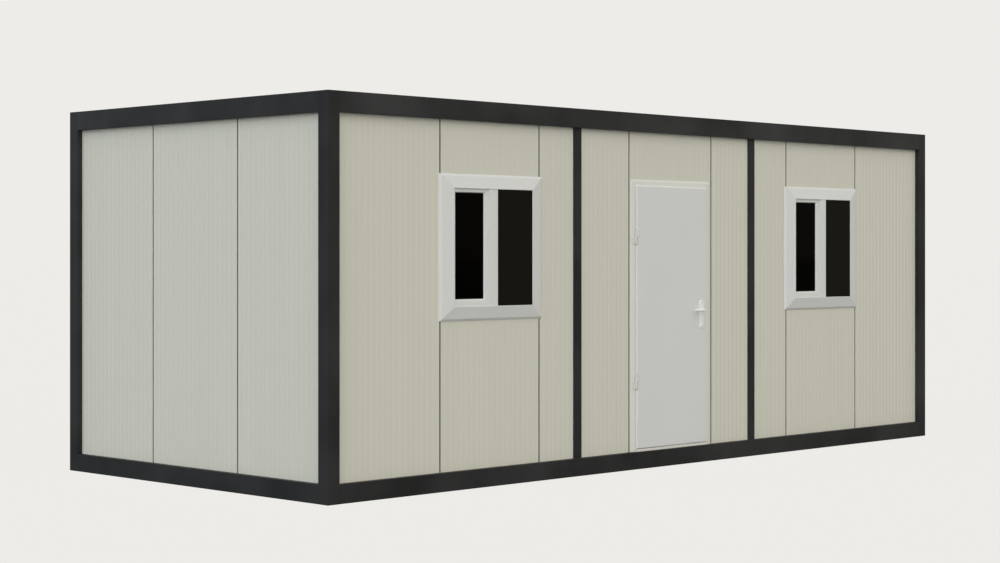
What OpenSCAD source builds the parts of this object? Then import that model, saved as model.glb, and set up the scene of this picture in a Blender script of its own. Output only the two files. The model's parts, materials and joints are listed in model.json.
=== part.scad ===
// Site cabin: a steel frame of posts and rails, filled with insulated wall panels,
// with two sliding windows and a hinged door in its long front.
// Units are millimetres. The front faces -Y and the origin is at the middle of the
// footprint, on the ground.

/* [Cabin] */
// Length along the front, over the corner posts
cabin_len = 7000; // [6000:50:8400]
// Depth from front to back, over the corner posts
cabin_dep = 3000; // [2500:50:3600]
// Height from the ground to the top of the frame
cabin_h = 2700; // [2640:10:3240]

/* [Steel frame] */
// Side of the square corner posts
post_w = 100; // [90:5:120]
// Height of the rails round the roof
top_rail_h = 140; // [115:5:170]
// Height of the rails on the ground
base_rail_h = 130; // [108:2:156]
// Depth of a rail's flanges, from the outer face inwards
rail_d = 100; // [100:5:120]
// Wall of the steel sections
steel_t = 4; // [3:0.5:5]
// Width of the strips that stand in front of the long walls
mid_post_w = 80; // [60:5:100]
// How far those strips stand out from the wall
mid_post_d = 12; // [10:1:20]
// Distance from the door's middle to the left strip's middle
mid_post_left = 1071.5; // [900:0.5:1300]
// Distance from the door's middle to the right strip's middle
mid_post_right = 1005.5; // [900:0.5:1300]

/* [Floor and roof] */
// Width of the floor and roof joists
joist_w = 60; // [50:5:80]
// Thickness of the floor board
board_t = 20; // [16:1:25]
// Thickness of the vinyl on the floor board
vinyl_t = 2; // [2:0.5:4]
// Thickness of the sheets under the floor and on the roof
sheet_t = 2; // [1.5:0.5:3]
// Thickness of the ceiling panels
ceiling_t = 40; // [30:5:50]
// Height of the ribs pressed into the roof sheet
roof_rib_h = 18; // [12:1:22]
// Spacing of those ribs
roof_rib_pitch = 250; // [200:5:300]

/* [Wall panels] */
// Thickness of the insulated panels
panel_t = 50; // [40:5:52]
// How far the panels' outer face lies behind the frame's outer face
wall_inset = 42; // [35:1:45]
// How far the outermost panels' module runs behind a corner post
panel_lap = 50; // [40:5:60]
// Width of the groove that shows between two panels
seam_w = 8; // [6:1:10]
// Depth of that groove
seam_d = 8; // [6:1:10]

/* [Windows] */
// Width and height of the sloped trim round a window
trim_size = 1022; // [980:2:1060]
// Height of the trim's lower edge above the ground
trim_base = 1167; // [1000:1:1250]
// Width of the opening inside the trim
light_w = 774; // [640:1:800]
// Height of the opening inside the trim
light_h = 820; // [700:1:830]
// Width and height of the hole in the wall panel
window_hole = 904; // [880:2:910]
// How far the trim's ridge stands out from the wall
trim_ridge = 34; // [25:1:40]
// How far each window sits towards the door from its panel's middle
window_shift = 8; // [0:1:12]

/* [Door] */
// Width of the door leaf
leaf_w = 830; // [690:1:900]
// Height of the door leaf
leaf_h = 1985; // [1850:5:2100]
// Thickness of the door leaf
leaf_t = 40; // [38:1:45]
// How far the leaf's face stands out from the wall
leaf_proud = 22; // [18:1:26]
// Height of the threshold under the leaf
threshold_h = 26; // [24:1:30]
// Clearance round the leaf
leaf_gap = 5; // [5:0.5:8]
// How far the leaf's lip reaches past its edges, over the frame's face
leaf_lip = 8; // [6:0.5:9]
// Width of the frame's face beside and over the leaf's gap
frame_face = 57; // [50:1:65]
// Height of the lever's spindle above the leaf's lower edge
lever_h = 1031; // [950:5:1100]
// Distance from the lever's spindle to the leaf's free edge
lever_backset = 65; // [55:1:75]
// Length of the lever from its spindle
lever_len = 135; // [110:5:150]

/* [Hidden] */
$fn = 48;

paint_dark = [0.17, 0.17, 0.17];
paint_light = [0.73, 0.73, 0.68];
plastic_white = [0.8, 0.8, 0.78];
galvanised = [0.62, 0.64, 0.65];
dark_glass = [0.1, 0.11, 0.11];

// Outer faces of the frame, and the wall planes behind them
front_y = -cabin_dep / 2;
wall_y = front_y + wall_inset;
inner_wall_y = wall_y + panel_t;

// Clear lengths between the posts
span_x = cabin_len - 2 * post_w;
span_y = cabin_dep - 2 * post_w;

// The walls stand on the base rails and end under the top rails
wall_h = cabin_h - top_rail_h - base_rail_h;
top_rail_z = cabin_h - top_rail_h;

// Panels: seven along a long wall, and one whole one in the middle of a short wall
long_panels = 7;
panel_pitch = (cabin_len - 2 * panel_lap) / long_panels;
seam_gap = 2;
tongue_l = 11;
tongue_t = 14;
tongue_gap = 1;
slot_l = tongue_l + 3;

// Joists: one in the middle of each bay line
joist_count = 5;
joist_pitch = span_x / (joist_count + 1);
joist_x = [for (i = [1 : joist_count]) -span_x / 2 + i * joist_pitch];
sheet_lap = 40;

// Roof: the sheet lies on the joists, below the top rails' upper flange
roof_sheet_z = cabin_h - steel_t - roof_rib_h - sheet_t - 6;
roof_joist_z = top_rail_z + steel_t + ceiling_t;
rib_foot = 70;
rib_crown = 40;

// Windows
window_z = trim_base + trim_size / 2;
window_x = [window_shift - 2 * panel_pitch, 2 * panel_pitch - window_shift];
frame_clear = 2;
frame_step = 10;
slide_gap = 0.5;
trim_edge = 3;
trim_bevel_at = 0.15;
trim_bevel_rise = 12;
window_frame_d = 70;
frame_proud_of_wall = 24;
sash_proud = 22;
sash_d = 38;
bead_w = 12;
bead_d = 14;
stile_right = 79;
glass_right = -86;
glass_left_band = 14;
glass_low_band = 40;
glass_top_band = 19;
glass_t = 6;
glass_lap = 8;
back_sash_left = 2;
back_sash_band = 45;
track_gap = 3;
screen_left = 39;
screen_t = 6;
screen_clear = 0.3;
meeting_bar_left = -46;
meeting_bar_proud = 30;

// Door
leaf_z = base_rail_h + threshold_h + leaf_gap;
leaf_top = leaf_z + leaf_h;
leaf_y = wall_y - leaf_proud;
lip_bevel_w = 10;
lip_bevel_d = 8;
lip_clear = 5;
door_w = leaf_w + 2 * leaf_gap;
door_hole_w = door_w + 60;
door_hole_top = leaf_top + leaf_gap + 24;
frame_proud = 6;
frame_edge = 2;
frame_bevel_w = 20;
stop_w = 20;
stop_y = leaf_y + leaf_t + leaf_gap;
lip_back_y = wall_y - frame_proud - lip_clear;
lip_box = [-leaf_w / 2 - leaf_lip, leaf_z - leaf_lip, leaf_w / 2 + leaf_lip, leaf_top + leaf_lip];

// Hinges: the pin's axis lies before the frame's face, just outside the leaf's edge
hinge_r = 8;
hinge_pin_r = 4;
pin_clear = 0.05;
hinge_plate_t = 3;
hinge_half_h = 55;
hinge_split = 0.5;
hinge_x = -leaf_w / 2 - 10;
hinge_y = wall_y - frame_proud - hinge_plate_t - hinge_r;
hinge_low = 498;
hinge_high = 388;
hinge_z = [leaf_z + hinge_low, leaf_top - hinge_high];
hinge_leaf_plate = 40;
hinge_frame_plate = 38;

// Lever and lock
lever_x = leaf_w / 2 - lever_backset;
lever_z = leaf_z + lever_h;
neck_r = 9;
neck_out = 50;
arm_r = 8;
plate_w = 45;
plate_t = 8;
plate_above = 73;
plate_below = 142;
leaf_bore_r = neck_r + 3;
lock_drop = 94;
lock_r = 8.5;
lock_w = 10;
lock_h = 24;
lock_proud = 2;
lock_clear = 0.3;

// A box between two values along each axis
module block(x0, x1, y0, y1, z0, z1) {
    translate([x0, y0, z0])
        cube([x1 - x0, y1 - y0, z1 - z0]);
}

// An outline in X and Z, carried along Y
module prism_y(points, y0, y1) {
    translate([0, y1, 0])
        rotate([90, 0, 0])
            linear_extrude(y1 - y0)
                polygon(points);
}

// A channel along X with its web on the outer face, open inwards
module channel(length, height) {
    block(-length / 2, length / 2, 0, steel_t, 0, height);
    block(-length / 2, length / 2, 0, rail_d, 0, steel_t);
    block(-length / 2, length / 2, 0, rail_d, height - steel_t, height);
}

// A square tube, capped at its top
module corner_post() {
    difference() {
        translate([-post_w / 2, -post_w / 2, 0])
            cube([post_w, post_w, cabin_h]);
        translate([steel_t - post_w / 2, steel_t - post_w / 2, -1])
            cube([post_w - 2 * steel_t, post_w - 2 * steel_t, cabin_h - steel_t + 1]);
    }
}

// Puts a post at a corner: side_x and side_y are -1 or 1
module at_corner(side_x, side_y) {
    translate([side_x * (cabin_len - post_w) / 2, side_y * (cabin_dep - post_w) / 2, 0])
        children();
}

// Puts a piece made for the front face at another face of the frame
module at_long_side(turn) {
    rotate([0, 0, turn])
        translate([0, -cabin_dep / 2, 0])
            children();
}

module at_short_side(turn) {
    rotate([0, 0, turn])
        translate([0, -cabin_len / 2, 0])
            children();
}

module long_rail(turn, z, height) {
    color(paint_dark)
        at_long_side(turn)
            translate([0, 0, z])
                channel(span_x, height);
}

module short_rail(turn, z, height) {
    color(paint_dark)
        at_short_side(turn)
            translate([0, 0, z])
                channel(span_y, height);
}

module base_rail_front() { long_rail(0, 0, base_rail_h); }
module base_rail_back() { long_rail(180, 0, base_rail_h); }
module base_rail_left() { short_rail(-90, 0, base_rail_h); }
module base_rail_right() { short_rail(90, 0, base_rail_h); }
module top_rail_front() { long_rail(0, top_rail_z, top_rail_h); }
module top_rail_back() { long_rail(180, top_rail_z, top_rail_h); }
module top_rail_left() { short_rail(-90, top_rail_z, top_rail_h); }
module top_rail_right() { short_rail(90, top_rail_z, top_rail_h); }

// Shallow channel that stands before the wall, from rail to rail
module mid_post(x) {
    translate([x - mid_post_w / 2, 0, base_rail_h])
        difference() {
            translate([0, wall_inset - mid_post_d, 0])
                cube([mid_post_w, mid_post_d, wall_h]);
            translate([steel_t, wall_inset - mid_post_d + steel_t, -1])
                cube([mid_post_w - 2 * steel_t, mid_post_d, wall_h + 2]);
        }
}

module mid_posts(turn) {
    color(paint_dark)
        at_long_side(turn) {
            mid_post(-mid_post_left);
            mid_post(mid_post_right);
        }
}

// Floor joist: a channel on its side, from front rail to back rail
module floor_joists() {
    color(galvanised)
        for (x = joist_x) {
            block(x - joist_w / 2, x - joist_w / 2 + steel_t, -cabin_dep / 2 + rail_d,
                  cabin_dep / 2 - rail_d, 0, base_rail_h);
            block(x - joist_w / 2, x + joist_w / 2, -cabin_dep / 2 + rail_d,
                  cabin_dep / 2 - rail_d, 0, steel_t);
            block(x - joist_w / 2, x + joist_w / 2, -cabin_dep / 2 + rail_d,
                  cabin_dep / 2 - rail_d, base_rail_h - steel_t, base_rail_h);
        }
}

// Flat sheets on the lower flanges, one to each bay between joists
module underfloor_sheets() {
    stops = concat([-span_x / 2 - joist_w / 2], joist_x, [span_x / 2 + joist_w / 2]);
    color(galvanised)
        for (i = [0 : joist_count])
            block(stops[i] + joist_w / 2 + frame_clear, stops[i + 1] - joist_w / 2 - frame_clear,
                  -cabin_dep / 2 + rail_d - sheet_lap, cabin_dep / 2 - rail_d + sheet_lap,
                  steel_t, steel_t + sheet_t);
}

// A plate that fills the room from wall to wall, notched round the posts
module room_plate(z, thickness) {
    half_x = cabin_len / 2 - wall_inset - panel_t;
    half_y = cabin_dep / 2 - wall_inset - panel_t;
    difference() {
        block(-half_x, half_x, -half_y, half_y, z, z + thickness);
        for (sx = [-1, 1], sy = [-1, 1])
            translate([sx * cabin_len / 2, sy * cabin_dep / 2, z + thickness / 2])
                cube([2 * post_w + frame_clear, 2 * post_w + frame_clear, thickness + 2],
                     center = true);
    }
}

module floor_board() {
    color([0.6, 0.5, 0.36])
        room_plate(base_rail_h, board_t);
}

module floor_vinyl() {
    color([0.45, 0.46, 0.47])
        room_plate(base_rail_h + board_t, vinyl_t);
}

// Roof joist: a channel on its side, from web to web of the top rails
module roof_joists() {
    reach = cabin_dep / 2 - steel_t;
    color(galvanised)
        for (x = joist_x) {
            block(x - joist_w / 2, x - joist_w / 2 + steel_t, -reach, reach,
                  roof_joist_z, roof_sheet_z);
            block(x - joist_w / 2, x + joist_w / 2, -reach, reach,
                  roof_joist_z, roof_joist_z + steel_t);
            block(x - joist_w / 2, x + joist_w / 2, -reach, reach,
                  roof_sheet_z - steel_t, roof_sheet_z);
        }
}

// Ceiling panels lie on the top rails' lower flanges
module ceiling_panels() {
    half_x = span_x / 2 - frame_clear;
    half_y = cabin_dep / 2 - rail_d + sheet_lap;
    color([0.9, 0.9, 0.88])
        for (i = [0 : long_panels - 1])
            block(max(-half_x, -cabin_len / 2 + panel_lap + i * panel_pitch + seam_gap / 2),
                  min(half_x, -cabin_len / 2 + panel_lap + (i + 1) * panel_pitch - seam_gap / 2),
                  -half_y, half_y, top_rail_z + steel_t, top_rail_z + steel_t + ceiling_t);
}

// Pressed roof sheet: a flat with ribs that run from front to back
module roof_sheet() {
    half_x = cabin_len / 2 - rail_d + sheet_lap;
    half_y = cabin_dep / 2 - rail_d + sheet_lap;
    rib_n = floor((half_x - rib_foot) / roof_rib_pitch);
    top_line = concat(
        [[-half_x, 0]],
        [for (i = [-rib_n : rib_n], p = [[-rib_foot, 0], [-rib_crown, roof_rib_h],
                                         [rib_crown, roof_rib_h], [rib_foot, 0]])
            [i * roof_rib_pitch + p[0] / 2, p[1]]],
        [[half_x, 0]]);
    low_line = [for (i = [len(top_line) - 1 : -1 : 0]) top_line[i] - [0, sheet_t]];
    color(galvanised)
        difference() {
            translate([0, 0, roof_sheet_z + sheet_t])
                prism_y(concat(top_line, low_line), -half_y, half_y);
            for (sx = [-1, 1], sy = [-1, 1])
                translate([sx * cabin_len / 2, sy * cabin_dep / 2, roof_sheet_z])
                    cube([2 * post_w + frame_clear, 2 * post_w + frame_clear, 4 * roof_rib_h],
                         center = true);
        }
}

// Plan of a panel from X x0 to x1, outer face at Y 0. A free edge is plain. The left edge
// has a slot and the right edge a tongue, and both leave half a seam on the outer face.
function panel_plan(x0, x1, plain_left, plain_right) = concat(
    [[plain_left ? x0 : x0 + seam_w / 2, 0], [plain_right ? x1 : x1 - seam_w / 2, 0]],
    plain_right ? [[x1, panel_t]] : [
        [x1 - seam_w / 2, seam_d],
        [x1 - seam_gap / 2, seam_d],
        [x1 - seam_gap / 2, (panel_t - tongue_t) / 2],
        [x1 + tongue_l, (panel_t - tongue_t) / 2],
        [x1 + tongue_l, (panel_t + tongue_t) / 2],
        [x1 - seam_gap / 2, (panel_t + tongue_t) / 2],
        [x1 - seam_gap / 2, panel_t]],
    plain_left ? [[x0, panel_t]] : [
        [x0 + seam_gap / 2, panel_t],
        [x0 + seam_gap / 2, (panel_t + tongue_t) / 2 + tongue_gap],
        [x0 + slot_l, (panel_t + tongue_t) / 2 + tongue_gap],
        [x0 + slot_l, (panel_t - tongue_t) / 2 - tongue_gap],
        [x0 + seam_gap / 2, (panel_t - tongue_t) / 2 - tongue_gap],
        [x0 + seam_gap / 2, seam_d],
        [x0 + seam_w / 2, seam_d]]);

// A panel between two values along the wall and two heights
module panel(x0, x1, z0, z1, plain_left, plain_right) {
    translate([0, wall_inset, z0])
        linear_extrude(z1 - z0)
            polygon(panel_plan(x0, x1, plain_left, plain_right));
}

function seam_x(i) = max(-span_x / 2, min(span_x / 2, -cabin_len / 2 + panel_lap + i * panel_pitch));

// Panel number i of a long wall, counted from 0 at the left
module long_panel(i, z0) {
    panel(seam_x(i), seam_x(i + 1), z0, top_rail_z, i == 0, i == long_panels - 1);
}

module front_panel(number) {
    color(paint_light)
        at_long_side(0)
            long_panel(number - 1, base_rail_h);
}

module window_panel(number, x) {
    difference() {
        front_panel(number);
        color(paint_light)
            block(x - window_hole / 2, x + window_hole / 2, wall_y - 1, inner_wall_y + 1,
                  window_z - window_hole / 2, window_z + window_hole / 2);
    }
}

module front_panel_1() { front_panel(1); }
module front_panel_2() { window_panel(2, window_x[0]); }
module front_panel_3() { front_panel(3); }
module front_panel_4() {
    color(paint_light)
        at_long_side(0)
            long_panel(3, door_hole_top);
}
module front_panel_5() { front_panel(5); }
module front_panel_6() { window_panel(6, window_x[1]); }
module front_panel_7() { front_panel(7); }

// What is left of the fourth panel beside the door frame
module door_side_strips() {
    color(paint_light)
        at_long_side(0) {
            panel(seam_x(3), -door_hole_w / 2, base_rail_h, door_hole_top, false, true);
            panel(door_hole_w / 2, seam_x(4), base_rail_h, door_hole_top, true, false);
        }
}

module back_wall_panels() {
    color(paint_light)
        at_long_side(180)
            for (i = [0 : long_panels - 1])
                long_panel(i, base_rail_h);
}

module short_wall(turn) {
    color(paint_light)
        at_short_side(turn) {
            panel(-span_y / 2, -panel_pitch / 2, base_rail_h, top_rail_z, true, false);
            panel(-panel_pitch / 2, panel_pitch / 2, base_rail_h, top_rail_z, false, false);
            panel(panel_pitch / 2, span_y / 2, base_rail_h, top_rail_z, false, true);
        }
}

module left_wall_panels() { short_wall(-90); }
module right_wall_panels() { short_wall(90); }

// One side of a mitred frame, standing along Z. across is [outer, inner] in X, low and
// high are the Z of its [outer, inner] corners. The section gives [share of the width, Y].
module mitred_side(across, low, high, section, y0, y1) {
    bottom = min(low[0], low[1]) - 1;
    intersection() {
        translate([0, 0, bottom])
            linear_extrude(max(high[0], high[1]) + 1 - bottom)
                polygon([for (p = section) [across[0] + p[0] * (across[1] - across[0]), p[1]]]);
        prism_y([[across[0], low[0]], [across[1], low[1]], [across[1], high[1]],
                 [across[0], high[0]]], y0, y1);
    }
}

// A mitred frame from the outer to the inner rectangle, each [x0, z0, x1, z1]
module mitred_frame(outer, inner, section) {
    y0 = min([for (p = section) p[1]]) - 1;
    y1 = max([for (p = section) p[1]]) + 1;
    x_out = [outer[0], outer[2]];
    x_in = [inner[0], inner[2]];
    z_out = [outer[1], outer[3]];
    z_in = [inner[1], inner[3]];
    for (k = [0, 1]) {
        mitred_side([x_out[k], x_in[k]], [z_out[0], z_in[0]], [z_out[1], z_in[1]],
                    section, y0, y1);
        rotate([0, 90, 0])
            mitred_side([-z_out[k], -z_in[k]], [x_out[0], x_in[0]], [x_out[1], x_in[1]],
                        section, y0, y1);
    }
}

// A rectangle about the middle, as [x0, z0, x1, z1]
function rect(w, h) = [-w / 2, -h / 2, w / 2, h / 2];

// Puts a piece at each window: its middle at the origin, its Y from the wall's outer face
module at_windows() {
    for (x = window_x)
        translate([x, wall_y, window_z])
            children();
}

// Sloped trim: a bevel at its outer edge, then a face that rises to a ridge
module window_trims() {
    color(plastic_white)
        at_windows()
            mitred_frame(rect(trim_size, trim_size), rect(light_w, light_h),
                         [[0, 0], [0, -trim_edge], [trim_bevel_at, -trim_edge - trim_bevel_rise],
                          [1, -trim_ridge], [1, 0]]);
}

// Frame: a ring in the wall's hole, a narrower one forward into the trim, and the bar on
// which the front sash and the screen meet
module window_frames() {
    outer = window_hole / 2 - frame_clear;
    inner_x = light_w / 2 - frame_step;
    inner_z = light_h / 2 - frame_step;
    bar_z = light_h / 2 - screen_clear;
    color(plastic_white)
        at_windows() {
            difference() {
                union() {
                    block(-outer, outer, 0, window_frame_d, -outer, outer);
                    block(-light_w / 2, light_w / 2, -frame_proud_of_wall, 1, -light_h / 2,
                          light_h / 2);
                }
                block(-inner_x, inner_x, -frame_proud_of_wall - 1, window_frame_d + 1, -inner_z,
                      inner_z);
            }
            block(meeting_bar_left, screen_left, -meeting_bar_proud, -sash_proud, -bar_z, bar_z);
        }
}

// Edges of the sashes, [x0, z0, x1, z1], about the window's middle
sash_x = light_w / 2 - frame_step - slide_gap;
sash_z = light_h / 2 - frame_step - slide_gap;
front_sash = [-sash_x, -sash_z, stile_right, sash_z];
front_light = [-sash_x + glass_left_band, -sash_z + glass_low_band, glass_right,
               sash_z - glass_top_band];
back_sash = [back_sash_left, -sash_z, sash_x, sash_z];
back_light = [back_sash_left + back_sash_band, -sash_z + back_sash_band,
              sash_x - back_sash_band, sash_z - back_sash_band];
front_bead = [front_light[0] - bead_w, front_light[1] - bead_w, front_light[2] + bead_w,
              front_light[3] + bead_w];
front_glass_y = bead_d - sash_proud;
front_sash_back = sash_d - sash_proud;
back_sash_y = front_sash_back + track_gap;
back_glass_y = back_sash_y + 9;
back_sash_d = 24;

// A rectangle grown by the glass's lap in its rebate
module glass_block(light, y0, y1, grow) {
    block(light[0] - grow, light[2] + grow, y0, y1, light[1] - grow, light[3] + grow);
}

// The front sash covers the left half, the back sash the right half
module window_sashes() {
    color(plastic_white)
        at_windows() {
            difference() {
                union() {
                    difference() {
                        block(front_sash[0], front_sash[2], -sash_proud, front_sash_back,
                              front_sash[1], front_sash[3]);
                        glass_block(front_bead, -sash_proud - 1, front_sash_back + 1, 0);
                    }
                    mitred_frame(front_bead, front_light,
                                 [[0, -sash_proud], [1, front_glass_y], [1, front_sash_back],
                                  [0, front_sash_back]]);
                }
                glass_block(front_light, front_glass_y, front_sash_back + 1, glass_lap);
            }
            difference() {
                block(back_sash[0], back_sash[2], back_sash_y, back_sash_y + back_sash_d,
                      back_sash[1], back_sash[3]);
                glass_block(back_light, back_sash_y - 1, back_sash_y + back_sash_d + 1, 0);
                glass_block(back_light, back_glass_y, back_sash_y + back_sash_d + 1, glass_lap);
            }
        }
}

module window_glass() {
    color(dark_glass)
        at_windows() {
            glass_block(front_light, front_glass_y, front_glass_y + glass_t,
                        glass_lap - screen_clear);
            glass_block(back_light, back_glass_y, back_glass_y + glass_t,
                        glass_lap - screen_clear);
        }
}

// Dark screen over the right half, just behind the trim's ridge
module window_screens() {
    half_z = light_h / 2 - screen_clear;
    color(dark_glass)
        at_windows()
            block(screen_left, light_w / 2 - screen_clear, 1 - trim_ridge,
                  1 - trim_ridge + screen_t, -half_z, half_z);
}

// Door frame: a bevelled face on the wall, and jambs and head with a stop behind the leaf
module door_frame() {
    face_w = door_w / 2 + frame_face;
    face_top = leaf_top + leaf_gap + frame_face - 8;
    body_w = door_hole_w / 2 - frame_clear;
    color(plastic_white)
        difference() {
            union() {
                translate([0, wall_y, 0])
                    mitred_frame([-face_w, -frame_face, face_w, face_top],
                                 [-door_w / 2, 0, door_w / 2, leaf_top + leaf_gap],
                                 [[0, 0], [0, -frame_edge],
                                  [frame_bevel_w / frame_face, -frame_proud],
                                  [1, -frame_proud], [1, 0]]);
                block(-body_w, body_w, wall_y, inner_wall_y, base_rail_h, door_hole_top);
            }
            block(-door_w / 2, door_w / 2, wall_y - 1, stop_y, 0, leaf_top + leaf_gap);
            block(stop_w - door_w / 2, door_w / 2 - stop_w, wall_y - 1, inner_wall_y + 1, 0,
                  leaf_top + leaf_gap - stop_w);
            block(-face_w - 1, face_w + 1, wall_y - frame_proud - 1, inner_wall_y + 1,
                  -frame_face - 1, base_rail_h);
        }
}

// The threshold fills the frame's foot, up to the leaf's gap
module door_threshold() {
    color(galvanised) {
        block(-door_w / 2, door_w / 2, wall_y - frame_proud, stop_y, base_rail_h,
              base_rail_h + threshold_h);
        block(stop_w - door_w / 2, door_w / 2 - stop_w, stop_y, inner_wall_y, base_rail_h,
              base_rail_h + threshold_h);
    }
}

// The lock's outline, grown by a clearance, through a depth along Y
module lock_body(grow, y0, y1) {
    translate([lever_x, y1, lever_z - lock_drop])
        rotate([90, 0, 0])
            cylinder(r = lock_r + grow, h = y1 - y0);
    block(lever_x - lock_w / 2 - grow, lever_x + lock_w / 2 + grow, y0, y1,
          lever_z - lock_drop - lock_h - grow, lever_z - lock_drop);
}

// A round along Y on the lever's spindle
module spindle(r, y0, y1) {
    translate([lever_x, y1, lever_z])
        rotate([90, 0, 0])
            cylinder(r = r, h = y1 - y0);
}

// The leaf, with a bevelled lip round its front that clears the hinges
module door_leaf() {
    face = [for (k = [0 : 3]) lip_box[k] + (k < 2 ? lip_bevel_w : -lip_bevel_w)];
    color(plastic_white)
        difference() {
            union() {
                block(-leaf_w / 2, leaf_w / 2, lip_back_y, leaf_y + leaf_t, leaf_z, leaf_top);
                block(face[0], face[2], leaf_y, lip_back_y + 1, face[1], face[3]);
                mitred_frame(lip_box, face, [[0, leaf_y + lip_bevel_d], [1, leaf_y],
                                             [1, lip_back_y], [0, lip_back_y]]);
            }
            for (z = hinge_z)
                block(lip_box[0] - 1, face[0], leaf_y - 1, lip_back_y, z - hinge_half_h - lip_clear,
                      z + hinge_half_h + lip_clear);
            spindle(leaf_bore_r, leaf_y - 1, leaf_y + leaf_t + 1);
            lock_body(lock_clear, leaf_y - 1, leaf_y + leaf_t + 1);
        }
}

// Frame half of each hinge: a lower knuckle with the pin, on a plate on the frame's face
module door_hinge_pins() {
    color(plastic_white)
        for (z = hinge_z) {
            translate([hinge_x, hinge_y, z - hinge_half_h])
                cylinder(r = hinge_r, h = hinge_half_h - hinge_split);
            translate([hinge_x, hinge_y, z - hinge_half_h])
                cylinder(r = hinge_pin_r, h = 2 * hinge_half_h - 5);
            block(hinge_x - hinge_frame_plate, hinge_x, hinge_y + hinge_r,
                  hinge_y + hinge_r + hinge_plate_t, z - hinge_half_h, z - hinge_split);
            block(hinge_x - hinge_r, hinge_x, hinge_y, hinge_y + hinge_r, z - hinge_half_h,
                  z - hinge_split);
        }
}

// Leaf half of each hinge: an upper knuckle with the bore, on a plate on the leaf's face
module door_hinge_leaves() {
    color(plastic_white)
        for (z = hinge_z)
            difference() {
                union() {
                    translate([hinge_x, hinge_y, z])
                        cylinder(r = hinge_r, h = hinge_half_h);
                    block(hinge_x, hinge_x + hinge_leaf_plate, leaf_y - hinge_plate_t,
                          leaf_y, z, z + hinge_half_h);
                }
                translate([hinge_x, hinge_y, z - 1])
                    cylinder(r = hinge_pin_r + pin_clear, h = hinge_half_h - 4);
            }
}

// One plate on each face of the leaf
module door_handle_plates() {
    color(plastic_white)
        for (y = [leaf_y - plate_t, leaf_y + leaf_t])
            difference() {
                block(lever_x - plate_w / 2, lever_x + plate_w / 2, y, y + plate_t,
                      lever_z - plate_below, lever_z + plate_above);
                spindle(neck_r + pin_clear, y - 1, y + plate_t + 1);
                lock_body(lock_clear, y - 1, y + plate_t + 1);
            }
}

// One lever on each face, on a common neck through the leaf
module door_lever() {
    color(plastic_white) {
        spindle(neck_r, leaf_y - neck_out, leaf_y + leaf_t + neck_out);
        for (y = [leaf_y - neck_out, leaf_y + leaf_t + neck_out]) {
            translate([lever_x, y, lever_z])
                rotate([0, -90, 0])
                    cylinder(r = arm_r, h = lever_len - arm_r);
            translate([lever_x - lever_len + arm_r, y, lever_z])
                sphere(r = arm_r);
            translate([lever_x, y, lever_z])
                sphere(r = neck_r);
        }
    }
}

module door_lock_cylinder() {
    color(galvanised)
        lock_body(0, leaf_y - plate_t - lock_proud, leaf_y + leaf_t + plate_t + lock_proud);
}

module corner_post_front_left() { color(paint_dark) at_corner(-1, -1) corner_post(); }
module corner_post_front_right() { color(paint_dark) at_corner(1, -1) corner_post(); }
module corner_post_back_left() { color(paint_dark) at_corner(-1, 1) corner_post(); }
module corner_post_back_right() { color(paint_dark) at_corner(1, 1) corner_post(); }
module mid_posts_front() { mid_posts(0); }
module mid_posts_back() { mid_posts(180); }

corner_post_front_left();
corner_post_front_right();
corner_post_back_left();
corner_post_back_right();
base_rail_front();
base_rail_back();
base_rail_left();
base_rail_right();
top_rail_front();
top_rail_back();
top_rail_left();
top_rail_right();
mid_posts_front();
mid_posts_back();
floor_joists();
underfloor_sheets();
floor_board();
floor_vinyl();
roof_joists();
ceiling_panels();
roof_sheet();
front_panel_1();
front_panel_2();
front_panel_3();
front_panel_4();
front_panel_5();
front_panel_6();
front_panel_7();
door_side_strips();
left_wall_panels();
right_wall_panels();
back_wall_panels();
window_trims();
window_frames();
window_sashes();
window_glass();
window_screens();
door_frame();
door_threshold();
door_leaf();
door_hinge_pins();
door_hinge_leaves();
door_handle_plates();
door_lever();
door_lock_cylinder();
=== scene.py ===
"""Looks of a steel-framed site cabin, laid out as an add-on and run as a script.

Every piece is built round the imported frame, in metres. The front faces -Y, +Z is up and the
origin is in the middle of the footprint, on the ground.
"""

import json
import math

import bmesh
import bpy
import numpy as np
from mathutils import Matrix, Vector


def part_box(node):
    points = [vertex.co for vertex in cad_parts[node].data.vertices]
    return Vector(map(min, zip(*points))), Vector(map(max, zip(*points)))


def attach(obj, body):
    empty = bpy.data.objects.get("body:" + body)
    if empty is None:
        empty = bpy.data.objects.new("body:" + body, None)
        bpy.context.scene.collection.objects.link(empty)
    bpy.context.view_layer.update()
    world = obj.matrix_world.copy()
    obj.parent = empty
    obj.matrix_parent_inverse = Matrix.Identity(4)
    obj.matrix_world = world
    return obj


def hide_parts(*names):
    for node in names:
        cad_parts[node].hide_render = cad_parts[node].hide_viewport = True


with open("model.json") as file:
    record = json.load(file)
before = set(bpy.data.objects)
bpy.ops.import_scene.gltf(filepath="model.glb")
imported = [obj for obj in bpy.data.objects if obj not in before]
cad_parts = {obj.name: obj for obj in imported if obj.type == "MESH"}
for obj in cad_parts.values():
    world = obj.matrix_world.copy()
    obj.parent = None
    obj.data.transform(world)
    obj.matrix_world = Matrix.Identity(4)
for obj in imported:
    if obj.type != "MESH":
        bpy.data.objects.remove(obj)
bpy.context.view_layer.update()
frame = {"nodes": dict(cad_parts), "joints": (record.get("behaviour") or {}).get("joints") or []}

bl_info = {
    "name": "Site Cabin",
    "version": (1, 0, 0),
    "blender": (4, 5, 0),
    "location": "View3D > Sidebar > Cabin",
    "description": "Builds the visible pieces and finishes of a panel-walled site cabin",
    "category": "Object",
}

MM = 0.001
WELD = 0.001 * MM
RING_STEPS = 24
FLOOR_REACH = 400.0


# ---------------------------------------------------------------- outlines and shells


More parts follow.
